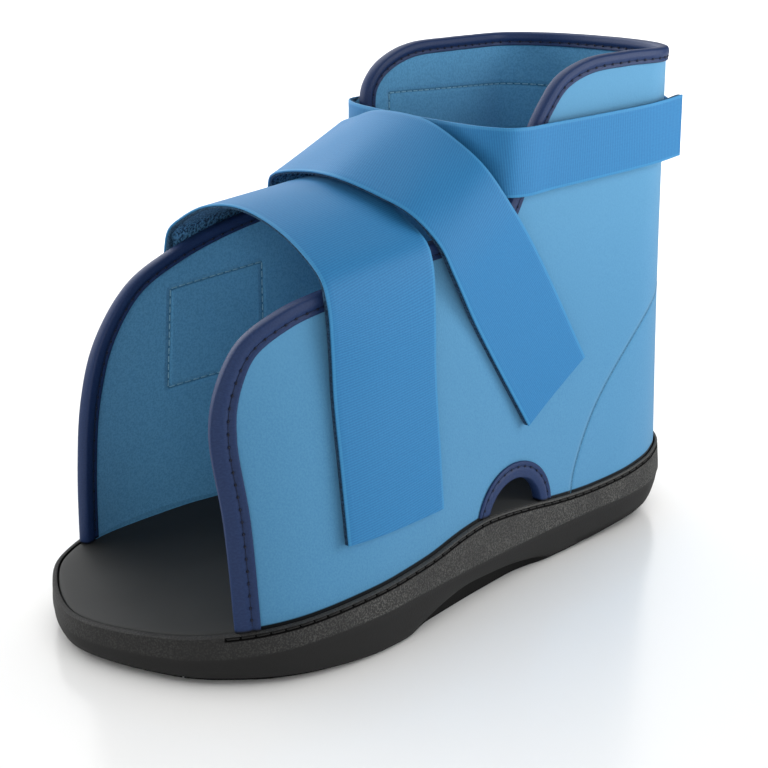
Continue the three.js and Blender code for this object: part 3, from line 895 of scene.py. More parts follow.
@dataclass(frozen=True)
class BrushedFelt:
    """Brushed polyester felt: short even nap, flecked inside, with painted shade along the seams and at its
    foot, painted light that grows with height, and a lining painted lighter than its outer face.
    """

    colour: str = "#477ea5"
    pale: str = "#4d85aa"
    # Painted light: the outer felt is lighter higher up, as if lit from above.
    painted_top_light: str = "#5f95b8"
    # Lining colours, painted lighter than the outer face to stand in for light reaching the inside.
    lining_painted_light: str = "#508bb2"
    lining_fleck_painted_light: str = "#5b99c0"
    # Painted shade in the seams' creases.
    deep: str = "#1f4a63"
    # Painted shade along the felt's foot, in the crevice at the rim.
    hem: str = "#04070a"
    sheen: str = "#e4eef8"
    nap_mm: float = 0.7
    fleck_mm: float = 0.8
    # Heights in metres over which the painted light grows.
    painted_light_heights_m: Point2 = (0.08, 0.2)

    def material(self) -> Material:
        """Build the material."""
        shade = Shade(
            "brushed_felt", self.colour, 0.9, Specular_IOR_Level=0.12,
            Sheen_Weight=0.2, Sheen_Roughness=0.5, Sheen_Tint=linear(self.sheen),
        )
        place = shade.place()
        nap = shade.noise(place, self.nap_mm, 3)
        # Painted light that grows with height on the outer face.
        painted_light_share = shade.times(shade.ramp(shade.parts(place)["Z"], *self.painted_light_heights_m), 0.6)
        outside = shade.blend(shade.ramp(nap, 0.3, 0.7), self.colour, self.pale)
        outside = shade.blend(painted_light_share, outside, self.painted_top_light)
        flecks = shade.noise(place, self.fleck_mm, 2)
        # Lining painted lighter than the outer face, as fill light for the inside.
        inside = shade.blend(shade.ramp(flecks, 0.34, 0.62), self.lining_painted_light, self.lining_fleck_painted_light)
        lining = shade.number("lining")
        base = shade.blend(lining, outside, inside)
        counter, boxes = (shade.math("ABSOLUTE", shade.number(name)) for name in ("counter", "boxes"))
        faced = shade.times(shade.without(lining), 9.0)
        near = shade.math("MINIMUM", counter, shade.math("ADD", boxes, faced))
        # Painted shade along the counter seam and the stitched boxes.
        line = shade.without(shade.ramp(near, 0.15, 0.8))
        seam_shaded = shade.blend(shade.times(line, 0.6), base, self.deep)
        # Painted shade along the foot, weaker on the lining.
        low = shade.without(shade.ramp(shade.number("rise"), 0.7, 1.3))
        shown = shade.without(shade.times(lining, 0.8))
        shade.paint(shade.blend(shade.times(low, shown), seam_shaded, self.hem))
        dent = shade.without(shade.ramp(near, 0.0, 2.0))
        shade.emboss(shade.math("SUBTRACT", shade.times(nap, 0.2), dent), 0.6, 0.7)
        return shade.material


@dataclass(frozen=True)
class SatinTape:
    """Woven polyester binding tape: tight fine ribs across the tape, a soft satin light along it, and
    painted shade where it meets the rim.
    """

    colour: str = "#1b2d52"
    pale: str = "#203359"
    # Painted shade where the tape meets the rim.
    hem: str = "#070a12"
    rib_mm: float = 0.75

    def material(self) -> Material:
        """Build the material."""
        shade = Shade("satin_tape", self.colour, 0.5, Specular_IOR_Level=0.2)
        cloth = shade.cloth()
        ribs = shade.waves(shade.parts(cloth)["Y"], self.rib_mm)
        threads = shade.noise(cloth, 0.7, 2)
        woven = shade.blend(shade.ramp(threads, 0.35, 0.7), self.colour, self.pale)
        # Painted shade near the rim.
        low = shade.without(shade.ramp(shade.number("rise"), 0.3, 1.4))
        shade.paint(shade.blend(low, woven, self.hem))
        shade.emboss(ribs, 0.015, 0.4)
        return shade.material


@dataclass(frozen=True)
class RibbedWebbing:
    """Woven polyester strap: fine ribs across it, crossed by its warp, paler along both selvedges."""

    colour: str = "#20679a"
    light: str = "#2975a8"
    selvedge: str = "#3f8cba"
    sheen: str = "#bcdcf5"
    rib_mm: float = 0.95
    rib_slant: float = 0.12
    warp_mm: float = 1.3
    selvedge_mm: Point2 = (1.1, 0.7)

    def material(self, width_mm: float) -> Material:
        """Build the material for one width of strap.

        Args:
            width_mm: the strap's width.

        Returns:
            The material.
        """
        shade = Shade(
            f"ribbed_webbing_{round(width_mm)}mm", self.colour, 0.6, Specular_IOR_Level=0.25,
            Sheen_Weight=0.06, Sheen_Tint=linear(self.sheen), Sheen_Roughness=0.45,
        )
        cloth = shade.cloth()
        parts = shade.parts(cloth)
        across, along = parts["X"], parts["Y"]
        ribs = shade.waves(shade.math("ADD", along, shade.times(across, self.rib_slant)), self.rib_mm)
        warp = shade.waves(across, self.warp_mm)
        threads = shade.noise(cloth, 0.9, 2)
        crossed = shade.math("ADD", shade.times(ribs, 0.36), shade.times(warp, 0.05))
        woven = shade.math("ADD", crossed, threads)
        middle = shade.math("ABSOLUTE", shade.math("SUBTRACT", across, width_mm / 2 * MM))
        edge = shade.ramp(middle, *((width_mm / 2 - inset) * MM for inset in self.selvedge_mm))
        ground = shade.blend(shade.ramp(woven, 0.0, 1.0), self.colour, self.light)
        shade.paint(shade.blend(shade.times(edge, 0.4), ground, self.selvedge))
        shade.emboss(shade.times(woven, shade.without(shade.times(edge, 0.7))), 0.045, 0.7)
        return shade.material


@dataclass(frozen=True)
class LoopPile:
    """Looped nylon pile: matt and fuzzy, dark between its paler loops, with painted shade on its sides."""

    name: str = "loop_pile"
    colour: str = "#24435f"
    loop: str = "#5f9ac9"
    # Painted shade on the pile's sides, under the strap's edges.
    painted_shade: str = "#14283a"
    loop_mm: float = 0.9
    sheen: str = "#9fb6d0"

    def material(self) -> Material:
        """Build the material."""
        shade = Shade(
            self.name, self.colour, 1.0, Specular_IOR_Level=0.08,
            Sheen_Weight=0.15, Sheen_Tint=linear(self.sheen),
        )
        loops = shade.noise(shade.place(), self.loop_mm, 3)
        looped = shade.blend(shade.ramp(loops, 0.36, 0.62), self.colour, self.loop)
        # Painted shade on the sides.
        shade.paint(shade.blend(shade.times(shade.number("side"), 0.85), looped, self.painted_shade))
        shade.emboss(loops, 0.8, 0.9)
        return shade.material


@dataclass(frozen=True)
class SewingThread:
    """Twisted polyester thread: matt, with a faint light on its strands."""

    name: str
    colour: str
    light: str

    def material(self) -> Material:
        """Build the material."""
        shade = Shade(self.name, self.colour, 0.6, Specular_IOR_Level=0.3)
        strands = shade.noise(shade.place(), 0.5, 1)
        shade.paint(shade.blend(shade.ramp(strands, 0.35, 0.7), self.colour, self.light))
        return shade.material


# Sole


@dataclass
class Sole:
    """Moulded outsole, its footbed and the thread in its stitch groove."""

    form: ShoeForm
    stations: int = 120
    bulge: float = 0.9
    bulge_fade: Point2 = (-140, 90)
    bulge_least: float = 0.4
    undercut: float = 1.8
    groove_depth: float = 0.9
    groove_top: TableCurve = TableCurve((-143, 0.2), (-35, 0.2), (0, 0.5), (143, 0.75))
    groove_height: float = 1.5
    groove_front: float = -116.0
    groove_start: float = 0.2
    arch_recess: float = 3.0
    arch_ease: Point2 = (1, 5)
    edge_roll: float = 1.4
    grain_edge: Point2 = (-0.4, 0.9)
    grain_fade: Point2 = (-140, 70)
    grain_least: float = 0.3
    # Where the rim's painted highlight fades in along the shoe.
    painted_rim_highlight_fade: Point2 = (-112, 50)
    bed_gap: float = 0.55
    bed_gap_fade: Point2 = (-100, -10)
    ground_inset: float = 0.3
    tread_width: float = 3.0
    tread_depth: float = 1.6
    tread_pitch: float = 8.5
    tread_margin: float = 9.0
    tread_runs: tuple[Point2, ...] = ((-122, -60), (62, 122))
    stitch: StitchKind = StitchKind(4.5, 5.2, 0.85, 8)
    thread: SewingThread = SewingThread("black_thread", "#141414", "#1f1f1f")

    def __post_init__(self) -> None:
        """Work out the rim as a ring with its outward directions."""
        start = self.groove_front + np.array([-self.groove_start, self.groove_start])
        y = np.sort(np.concatenate([self.form.spaced(self.stations), start]))
        self.stations = len(y) - 1
        self.ring = self.form.rim_ring(y)
        self.out = outward(self.ring)

    def lower_edge(self, y: Array) -> Array:
        """Lower edge of the side wall, raised over the arched waist."""
        return np.maximum(self.form.arch_z(y), self.form.ground_z(y) + self.form.edge_rise(y))

    def groove_line(self, y: Array) -> Array:
        """Upper edge of the stitch groove."""
        return self.form.rim_z(y) - self.groove_top(y)

    def groove_share(self, y: Array) -> Array:
        """How deep the stitch groove is: none round the toe, full further back."""
        return rise(y, self.groove_front, self.groove_start)

    def ring_at(self, outside: float | Array, height: Height) -> Array:
        """Closed ring outside the rim, at a height that depends on y."""
        plan = self.ring + self.out * np.broadcast_to(outside, (len(self.ring),))[:, None]
        return np.concatenate([plan, height(plan[:, 1])[:, None]], axis=1)

    def drawn_in(self, ring: Array, distance: float | Array, height: Height) -> Array:
        """Ring drawn in from another one, at a new height."""
        plan = ring[:, :2] - outward(ring[:, :2]) * np.broadcast_to(distance, (len(ring),))[:, None]
        return np.concatenate([plan, height(plan[:, 1])[:, None]], axis=1)

    def side_rings(self) -> list[Array]:
        """Rings of the outsole from the footbed's pocket over the rim and down to the ground.

        Returns:
            Closed rings of points.
        """
        form, y = self.form, self.ring[:, 1]
        rim, ridge, lower, groove = form.rim_z, form.ridge_z, self.lower_edge, self.groove_line
        pocket = lowered(lowered(form.bed_z, form.footbed_thickness), form.gap)
        sunk = -self.groove_depth * self.groove_share(y)
        deep = self.groove_height
        groove_foot, under_ridge = lowered(groove, deep + 0.25), lowered(ridge, 0.5)
        w, u = form.rim_widths(self.ring), self.undercut
        b = self.bulge * np.maximum(rise(y, *self.bulge_fade), self.bulge_least)
        section: list[tuple[float | Array, Height]] = [
            (-w, pocket),
            (-w, lowered(rim, 1.2)),
            (-w + 0.1, lowered(rim, 0.4)),
            (-w + 0.3, lowered(rim, 0.08)),
            (-w + 0.55, rim),
            (-0.6, rim),
            (-0.3, lowered(rim, 0.05)),
            (-0.1, lowered(groove, -0.08)),
            (-0.05, groove),
            (sunk, lowered(groove, 0.15)),
            (sunk, lowered(groove, deep - 0.3)),
            (0.0, lowered(groove, deep)),
            (0.12, groove_foot),
            (0.45 * b, partway(groove_foot, ridge, 0.35)),
            (0.8 * b, partway(groove_foot, ridge, 0.7)),
            (b, lowered(ridge, -0.5)),
            (0.97 * b, lowered(ridge, -0.1)),
            (0.75 * b, lowered(ridge, 0.35)),
            (0.3 * b, partway(under_ridge, lower, 0.2)),
            (-0.05 * u, partway(under_ridge, lower, 0.45)),
            (-0.4 * u, partway(under_ridge, lower, 0.7)),
            (-0.75 * u, partway(under_ridge, lower, 0.9)),
            (-u, lowered(lower, -0.6)),
            (-u - 0.4, lowered(lower, -0.2)),
            (-u - 0.8, lower),
        ]
        rings = [self.ring_at(outside, height) for outside, height in section]
        hollow = self.arch_recess * smooth_step(rise(form.arch_z(y), *self.arch_ease))
        rolled = self.edge_roll * np.maximum(form.edge_rise(y) - 0.5, 0)
        rings.append(self.drawn_in(rings[-1], self.ground_inset + hollow + rolled, lowered(lower, 0.15)))
        rings.append(self.drawn_in(rings[-1], self.ground_inset, form.ground_z))
        return rings

    def across(self, ring: Array, columns: int) -> Array:
        """Face that spans a ring from its medial to its lateral side.

        Args:
            ring: the ring, from the toe tip along the lateral side.
            columns: steps across.

        Returns:
            Rows of points from toe to heel.
        """
        n = self.stations
        lateral = ring[: n + 1]
        medial = np.concatenate([ring[:1], ring[:n:-1], ring[n : n + 1]])
        share = np.linspace(0, 1, columns + 1)[None, :, None]
        return medial[:, None] * (1 - share) + lateral[:, None] * share

    def shell(self, name: str, rings: Sequence[Array], columns: int) -> Piece:
        """Closed piece of side rings and the faces that span the first and the last of them.

        Args:
            name: name of the piece.
            rings: its side rings.
            columns: steps across the face on the last ring.

        Returns:
            The piece.
        """
        looped = np.stack([np.concatenate([ring, ring[:1]]) for ring in rings])
        faces = self.across(rings[0], 1), self.across(rings[-1], columns)
        parts = [lay_grid(name, looped)]
        parts += [lay_grid(f"{name}_face_{i}", face) for i, face in enumerate(faces)]
        piece = join(parts)
        close_up(piece, caps=False)
        return piece

    def cut_tread(self, piece: Piece) -> None:
        """Cut the tread's grooves across the underside.

        Args:
            piece: the outsole.
        """
        bars = []
        half = self.stations + 1
        lateral, medial = self.ring[:half], self.ring[half - 1 :][::-1]
        for first, last in self.tread_runs:
            for y in np.arange(first, last + 0.01, self.tread_pitch):
                left = np.interp(y, medial[:, 1], medial[:, 0]) + self.tread_margin
                right = np.interp(y, lateral[:, 1], lateral[:, 0]) - self.tread_margin
                size = (right - left, self.tread_width, 2 * self.tread_depth)
                place = Vector(((left + right) / 2, y, float(self.form.ground_z(y)))) * MM
                deselect()
                bpy.ops.mesh.primitive_cube_add(size=MM, location=place, scale=size)
                bars.append(bpy.context.active_object)
        cutter = join(bars)
        apply_modifier(piece, "BOOLEAN", operation="DIFFERENCE", object=cutter, solver="EXACT")
        bpy.data.objects.remove(cutter)

    def build_outsole(self) -> Piece:
        """Model the outsole and mark its pebbled band, the painted highlight on its rim and the painted
        shade in its groove, crevices and underside.

        Returns:
            The outsole.
        """
        piece = self.shell("outsole_moulding", self.side_rings(), 8)
        self.cut_tread(piece)
        x, y, z = point_places(piece).T
        over = rise(z - self.form.ridge_z(y), *self.grain_edge)
        over *= np.maximum(rise(y, *self.grain_fade), self.grain_least)
        drop = self.form.rim_z(y) - z
        under_lip = drop - self.groove_top(y)
        # Painted shade: the groove's floor, the crevice at the rim's inner edge and the underside below the
        # wall are marked to be painted near black.
        near = (under_lip > -0.02) & (under_lip < self.groove_height + 0.02)
        reach = np.stack([x, y], axis=1)[:, None] - self.ring[None]
        closest = np.argmin((reach**2).sum(2), axis=1)
        outside = (reach[np.arange(len(x)), closest] * self.out[closest]).sum(1)
        inner = outside + self.form.rim_widths(self.ring)[closest]
        shaded_crevice = (inner < 0.2) & (drop > 0.3) | (inner < 0.4) & (y > -108)
        under = z < self.lower_edge(y) - 0.05
        mark_points(piece, "grain", over)
        # Painted highlight on the rim's top, fading out towards the toe.
        mark_points(piece, "rim", (drop < 0.25) * rise(y, *self.painted_rim_highlight_fade))
        # The groove mark carries the painted shade.
        mark_points(piece, "groove", np.maximum(near * self.groove_share(y), shaded_crevice | under))
        smooth_faces(piece, 35)
        return piece

    def build_footbed(self) -> Piece:
        """Model the footbed, which falls off towards the gap at the rim.

        Returns:
            The footbed.
        """
        edge = -self.form.rim_widths(self.ring) - self.bed_gap
        edge += 0.3 * rise(self.ring[:, 1], *self.bed_gap_fade)
        fall = (
            (0, self.form.footbed_thickness),
            (0, 1.3), (0.1, 0.6), (0.4, 0.28), (1.0, 0.12), (2.2, 0.03), (4.0, 0),
        )
        rings = [self.ring_at(edge - inside, lowered(self.form.bed_z, drop)) for inside, drop in fall]
        piece = self.shell("footbed_board", rings, 24)
        smooth_faces(piece)
        return piece

    def build_thread(self) -> Piece:
        """Thread that lies in the stitch groove.

        Returns:
            The row of stitches.
        """
        line = self.ring_at(-0.5, lowered(self.groove_line, self.groove_height / 2))
        kept = line[:, 1] > self.groove_front + 0.5
        facing = np.concatenate([self.out, np.zeros((len(self.out), 1))], axis=1)
        return sew("sole_stitches", [(line[kept], facing[kept])], self.stitch)

    def build(self) -> None:
        """Model and dress the sole's pieces."""
        dress(self.build_outsole(), MouldedFoam().material(), "sole", "outsole")
        dress(self.build_footbed(), SatinFoam().material(), "footbed", "footbed")
        dress(self.build_thread(), self.thread.material(), "sole")


# Upper


class BoxCorner(NamedTuple):
    """Corner of a stitched box in side view, or at a run where the wall turns round the heel."""

    y: float
    z: float
    run: float = 0.0


@dataclass
class Upper:
    """Felt shell of the upper with its seams."""

    form: ShoeForm
    columns: int = 190
    rows: int = 90
    foot_samples: int = 3000
    foot_over_rim: float = -0.2
    corner_row: int = 4
    flat_cut: Point2 = (0.62, 0.20)
    flat_area: float = 0.080
    counter: tuple[Point2, ...] = (
        (58.3, 24), (60.3, 35.5), (71.7, 59.4), (90.7, 82.1), (103.7, 94.4), (112, 100), (119, 103)
    )
    counter_top: float = 105.0
    boxes: tuple[tuple[BoxCorner, ...], ...] = (
        (BoxCorner(-75, 118), BoxCorner(-35, 123), BoxCorner(-33, 82), BoxCorner(-74, 77.5)),
        (BoxCorner(30, 182.5), BoxCorner(0, 179, 0.525), BoxCorner(0, 160, 0.525), BoxCorner(30, 160)),
    )
    seam_reach: float = 9.0
    box_stitch: StitchKind = StitchKind(2.5, 3.4, 0.5)
    box_thread: SewingThread = SewingThread("pale_thread", "#6fa3bd", "#8fbdd0")
    seam_stitch: StitchKind = StitchKind(2.5, 3.2, 0.34)
    seam_thread: SewingThread = SewingThread("teal_thread", "#3d7494", "#5f97b5")

    def foot(self, start: float) -> Array:
        """Foot of a side as runs and heights, over the notch, from the front to the heel.

        Args:
            start: run of the front edge's foot.

        Returns:
            Rows of run and height.
        """
        runs = np.linspace(start, 0.5, self.foot_samples)
        y = self.form.plan(runs, np.zeros(len(runs)))[:, 1]
        z = self.form.rim_z(y) - self.form.bed_dip(y) + self.foot_over_rim
        return np.stack([runs, np.maximum(z, self.form.notch_top(y))], axis=1)

    def half(self, side: Side) -> Array:
        """Grid of runs and heights over one side, from its front edge to the middle of the heel.

        Args:
            side: which side.

        Returns:
            Rows from the foot up, columns from the front back.
        """
        line = self.form.edge_line(side, self.foot_over_rim)
        corner = int(np.argmax(line[:, 1] >= self.form.edge[self.corner_row].on(side)[1]))
        front, top = line[: corner + 1] * self.form.flat, line[corner:] * self.form.flat
        foot = self.foot(line[0, 0]) * self.form.flat
        foot[0] = front[0]
        heel = np.array([foot[-1], top[-1]])
        front, heel = spread_evenly(front, self.rows), spread_evenly(heel, self.rows)
        top, foot = spread_evenly(top, self.columns), spread_evenly(foot, self.columns)
        v = np.linspace(0, 1, self.rows + 1)[:, None, None]
        u = np.linspace(0, 1, self.columns + 1)[None, :, None]
        ruled = (1 - v) * foot[None] + v * top[None] + (1 - u) * front[:, None] + u * heel[:, None]
        low = (1 - u) * foot[0] + u * foot[-1]
        high = (1 - u) * top[0] + u * top[-1]
        return (ruled - (1 - v) * low - v * high) / self.form.flat

    def build_felt(self) -> Piece:
        """Model the felt shell as one cut sheet of its real thickness.

        Returns:
            The felt shell.
        """
        lateral, medial = self.half(Side.LATERAL), self.half(Side.MEDIAL)
        whole = np.concatenate([lateral, medial[:, -2::-1]], axis=1)
        piece = lay_grid("felt_upper", self.form.on_wall(whole[..., 0], whole[..., 1]))
        flat = whole.reshape(-1, 2) * self.form.flat
        y = self.form.plan(whole[..., 0], whole[..., 1])[..., 1]
        mark_points(piece, "counter", self.distance(flat, [self.counter_line()]))
        # Height over the rim, for the painted shade along the felt's foot.
        mark_points(piece, "rise", whole[..., 1] - self.form.rim_z(y))
        mark_points(piece, "boxes", self.distance(flat, [self.box(corners) for corners in self.boxes]))
        close_up(piece, caps=False)
        outer = len(piece.data.vertices)
        apply_modifier(piece, "SOLIDIFY", thickness=self.form.wall * MM, offset=-1)
        mark_points(piece, "lining", np.arange(len(piece.data.vertices)) >= outer)
        smooth_faces(piece)
        return piece

    def distance(self, flat: Array, lines: Sequence[Array]) -> Array:
        """Signed distance from sewn lines on the flattened wall, in millimetres.

        Args:
            flat: points on the flattened wall.
            lines: the lines, as runs and heights.

        Returns:
            Distances held within the seams' reach, of one sign inside a closed line or to one side of
            an open one.
        """
        best = np.full(len(flat), 1000.0)
        block_size = 4000
        for line in lines:
            points = line * self.form.flat
            start, step = points[:-1], np.diff(points, axis=0)
            long = np.maximum((step**2).sum(1), 1e-9)
            closed = np.allclose(points[0], points[-1])
            for first in range(0, len(flat), block_size):
                block = flat[first : first + block_size, None] - start[None]
                share = np.clip((block * step).sum(2) / long, 0, 1)
                away = block - share[..., None] * step
                nearest = np.argmin((away**2).sum(2), axis=1)
                pick_one = np.arange(len(nearest)), nearest
                turn = step[:, 0] * block[..., 1] - step[:, 1] * block[..., 0]
                inside = (turn > -1e-6).all(1) | (turn < 1e-6).all(1)
                side = np.where(inside if closed else turn[pick_one] > 0, 1, -1)
                size = np.linalg.norm(away[pick_one], axis=1) * side
                part = best[first : first + block_size]
                part[:] = np.where(np.abs(size) < np.abs(part), size, part)
        return np.clip(best, -self.seam_reach, self.seam_reach)

    def counter_line(self) -> Array:
        """Heel-counter seam as runs and heights, round the heel from side to side.

        Returns:
            Rows of run and height.
        """
        rows = np.array(self.counter)
        near = np.stack([self.form.run_at(Side.LATERAL, rows[:, 0], rows[:, 1]), rows[:, 1]], axis=1)
        top = np.array([[0.5, self.counter_top]])
        far = np.stack([1 - near[:, 0], near[:, 1]], axis=1)[::-1]
        return smooth_line(np.concatenate([near, top, far]), 24)

    def box(self, corners: Sequence[BoxCorner]) -> Array:
        """Closed box of stitches on the medial wall.

        Args:
            corners: its corners.

        Returns:
            Runs and heights along its sides, as many on each.
        """
        loop = [(c.run or float(self.form.run_at(Side.MEDIAL, c.y, c.z)[0]), c.z) for c in corners]
        loop = np.array([*loop, loop[0]])
        share = np.linspace(0, 1, 25)[:, None]
        return np.concatenate([first + share * (last - first) for first, last in zip(loop, loop[1:])])

    def sewn_line(self, line: Array, lift: float) -> SewnLine:
        """Line of runs and heights on the wall, with the directions that face out of the cloth there."""
        facing = self.form.facing(*line.T)
        return self.form.on_wall(*line.T, lift), facing if lift >= 0 else -facing

    def build_counter_seam(self) -> Piece:
        """Model the row of stitches along the heel counter."""
        return sew("counter_stitches", [self.sewn_line(self.counter_line(), 0)], self.seam_stitch)

    def build_box_seams(self) -> Piece:
        """Model the stitched boxes that hold the straps, on the inside.

        Returns:
            The stitches of all boxes.
        """
        sides = [side for corners in self.boxes for side in self.box(corners).reshape(len(corners), -1, 2)]
        lines = [self.sewn_line(side, -self.form.wall - 0.05) for side in sides]
        return sew("box_stitches", lines, self.box_stitch)

    def build(self) -> None:
        """Model and dress the upper."""
        felt = dress(self.build_felt(), BrushedFelt().material(), "felt", "upper")
        dress(self.build_counter_seam(), self.seam_thread.material(), "felt")
        dress(self.build_box_seams(), self.box_thread.material(), "felt")


# Bindings


@dataclass
class Binding:
    """Tape folded over an edge of the felt, with its row of stitches on both faces.

    The edge is given as rows of run and height, with the depth of the fold at each row.
    """

    form: ShoeForm
    name: str
    node: str
    line: Array
    widths: Array
    tape: float = 0.8
    puff: float = 0.3
    pinch: float = 0.3
    row_share: float = 0.65
    nose_reach: float = 1.15
    over_rim: float = 0.05
    thread: StitchKind = StitchKind(4.4, 4.4, 0.24)
    hole: StitchKind = StitchKind(1.2, 4.4, 1.0, 8)

    def __post_init__(self) -> None:
        """Work out the middle of the felt's edge, with directions out of it and away from the edge."""
        self.middle = self.form.on_wall(*self.line.T, -self.form.wall / 2)
        self.out = self.form.facing(*self.line.T)
        self.inward = unit(np.cross(unit(np.gradient(self.middle, axis=0)), self.out))

    def section(self, width: float) -> Array:
        """Closed section of the folded tape.

        Args:
            width: depth of the fold from the felt's edge.

        Returns:
            Offsets along the wall's outward direction and into the felt.
        """
        inner, outer = self.form.wall / 2 + 0.15, self.face()
        share = np.linspace(1, 0.05, 16)
        row = self.row_share
        hem = 0.3 * np.sin(np.pi * (share - row) / (1 - row))
        swell = np.where(share < row, np.sin(np.pi * share / row), hem)
        valley = np.exp(-(((share - row) * width / 0.8) ** 2))
        lift = outer + self.puff * swell - self.pinch * valley - 0.3 * (share > 0.99)
        leaf = np.stack([lift, share * width], axis=1)
        angle = np.linspace(0.12, math.pi - 0.12, 13)
        nose = np.stack([outer * np.cos(angle), 0.1 - self.nose_reach * np.sin(angle) ** 0.8], axis=1)
        lining = np.array([(-inner, width), (-inner, 0.2), (inner, 0.2), (inner, width)])
        return np.concatenate([leaf, nose, leaf[::-1] * (-1, 1), lining, leaf[:1]])

    def face(self) -> float:
        """Distance of the tape's faces from the middle of the felt."""
        return self.form.wall / 2 + self.form.gap + self.tape - 0.2

    def sweep(self) -> Piece:
        """Tape swept along the edge, cut off level with the rim.

        Returns:
            The tape.
        """
        loops = np.array([self.section(width) for width in self.widths])
        aside = loops[..., :1] * self.out[:, None]
        points = self.middle[:, None] + aside + loops[..., 1:] * self.inward[:, None]
        points[..., 2] = np.maximum(points[..., 2], self.form.rim_z(points[..., 1]) + self.over_rim)
        round_it, along = lengths_along(loops[len(loops) // 2]), lengths_along(self.middle)
        weave = np.stack(np.broadcast_arrays(round_it[None, :], along[:, None]), axis=2)
        piece = lay_grid(self.name, points, weave)
        # Height over the rim, for the tape's painted shade at the rim.
        mark_points(piece, "rise", points[..., 2] - self.form.rim_z(points[..., 1]))
        close_up(piece)
        smooth_faces(piece)
        return piece

    def stitch_rows(self) -> list[SewnLine]:
        """Rows of stitches on the outer and the inner face of the tape.

        Returns:
            The two rows.
        """
        row = self.middle + self.inward * (self.row_share * self.widths)[:, None]
        face = self.face() - self.pinch + 0.1
        kept = row[:, 2] > self.form.rim_z(row[:, 1]) + 1
        rows = [(row + self.out * face, self.out), (row - self.out * face, -self.out)]
        return [(points[kept], facing[kept]) for points, facing in rows]

    def build(self, tape: Material, thread: Material) -> None:
        """Model and dress the tape and its stitches.

        Args:
            tape: finish of the tape.
            thread: finish of its stitches.
        """
        dress(self.sweep(), tape, "tape", self.node)
        rows = self.stitch_rows()
        threads = sew(f"{self.name}_stitches", rows, self.thread)
        holes = sew(f"{self.name}_knots", rows, self.hole)
        dress(join([threads, holes]), thread, "tape")


@dataclass
class Bindings:
    """All bound edges of the upper."""

    form: ShoeForm
    lateral_width: TableCurve = TableCurve((90, 8.2), (130, 5.8), (185, 4.5))
    medial_width: TableCurve = TableCurve((90, 5.9), (130, 4.2), (185, 4.5))
    notch_width: float = 6.0
    below_rim: float = -1.0
    edge_steps: int = 520
    notch_steps: int = 70
    thread: SewingThread = SewingThread("navy_thread", "#0d1424", "#1a2340")

    def even(self, line: Array, steps: int) -> Array:
        """Rows of run and height spread evenly along the wall."""
        return spread_evenly(line * self.form.flat, steps) / self.form.flat

    def edge_line(self) -> Array:
        """Free edge from the lateral foot over the collar to the medial foot."""
        lateral, medial = (self.form.edge_line(side, self.below_rim) for side in Side)
        return self.even(np.concatenate([lateral, medial[-2::-1]]), self.edge_steps)

    def notch_line(self, side: Side) -> Array:
        """Arch of a notch, run so that the felt lies on the inner side of the tape.

        Args:
            side: which side.

        Returns:
            Rows of run and height.
        """
        form = self.form
        angle = np.linspace(-0.6, math.pi + 0.6, 240)
        y = form.notch_y + form.notch_half_width * np.cos(angle)
        z = form.notch_z + form.notch_height * np.sin(angle)
        kept = z > form.rim_z(y) + self.below_rim
        line = self.even(np.stack([form.run_at(side, y[kept], z[kept]), z[kept]], axis=1), self.notch_steps)
        return line if side is Side.LATERAL else line[::-1]

    def build(self) -> None:
        """Model and dress the three bindings."""
        tape, thread = SatinTape().material(), self.thread.material()
        line = self.edge_line()
        widths = np.where(line[:, 0] < 0.5, self.lateral_width(line[:, 1]), self.medial_width(line[:, 1]))
        Binding(self.form, "edge_tape", "edge_binding", line, widths).build(tape, thread)
        for side in Side:
            label = side.name.lower()
            line = self.notch_line(side)
            widths = np.full(len(line), self.notch_width)
            notch = Binding(self.form, f"notch_tape_{label}", f"notch_binding_{label}", line, widths)
            notch.build(tape, thread)


# Straps


@dataclass(frozen=True)
class Laid:
    """Row of a strap that lies on a side of the upper: its two edges in side view."""

    side: Side
    first: Point2
    second: Point2
    lift: float = 0.0

    def points(self, form: ShoeForm, shares: Array, face: float) -> Array:
        """Points across the strap.

        Args:
            form: the shoe's form.
            shares: places across the strap, from 0 to 1.
            face: height of the strap's outer face over the felt.

        Returns:
            One point for each share.
        """
        start, end = np.array(self.first), np.array(self.second)
        places = start + shares[:, None] * (end - start)
        return np.array([form.side_point(self.side, y, z, face + self.lift) for y, z in places])


@dataclass(frozen=True)
class Spanned:
    """Row of a strap that spans an opening: its two edges in space."""

    first: Point3
    second: Point3

    def points(self, form: ShoeForm, shares: Array, face: float) -> Array:
        """Points across the strap, straight from edge to edge."""
        start, end = np.array(self.first), np.array(self.second)
        return start + shares[:, None] * (end - start)


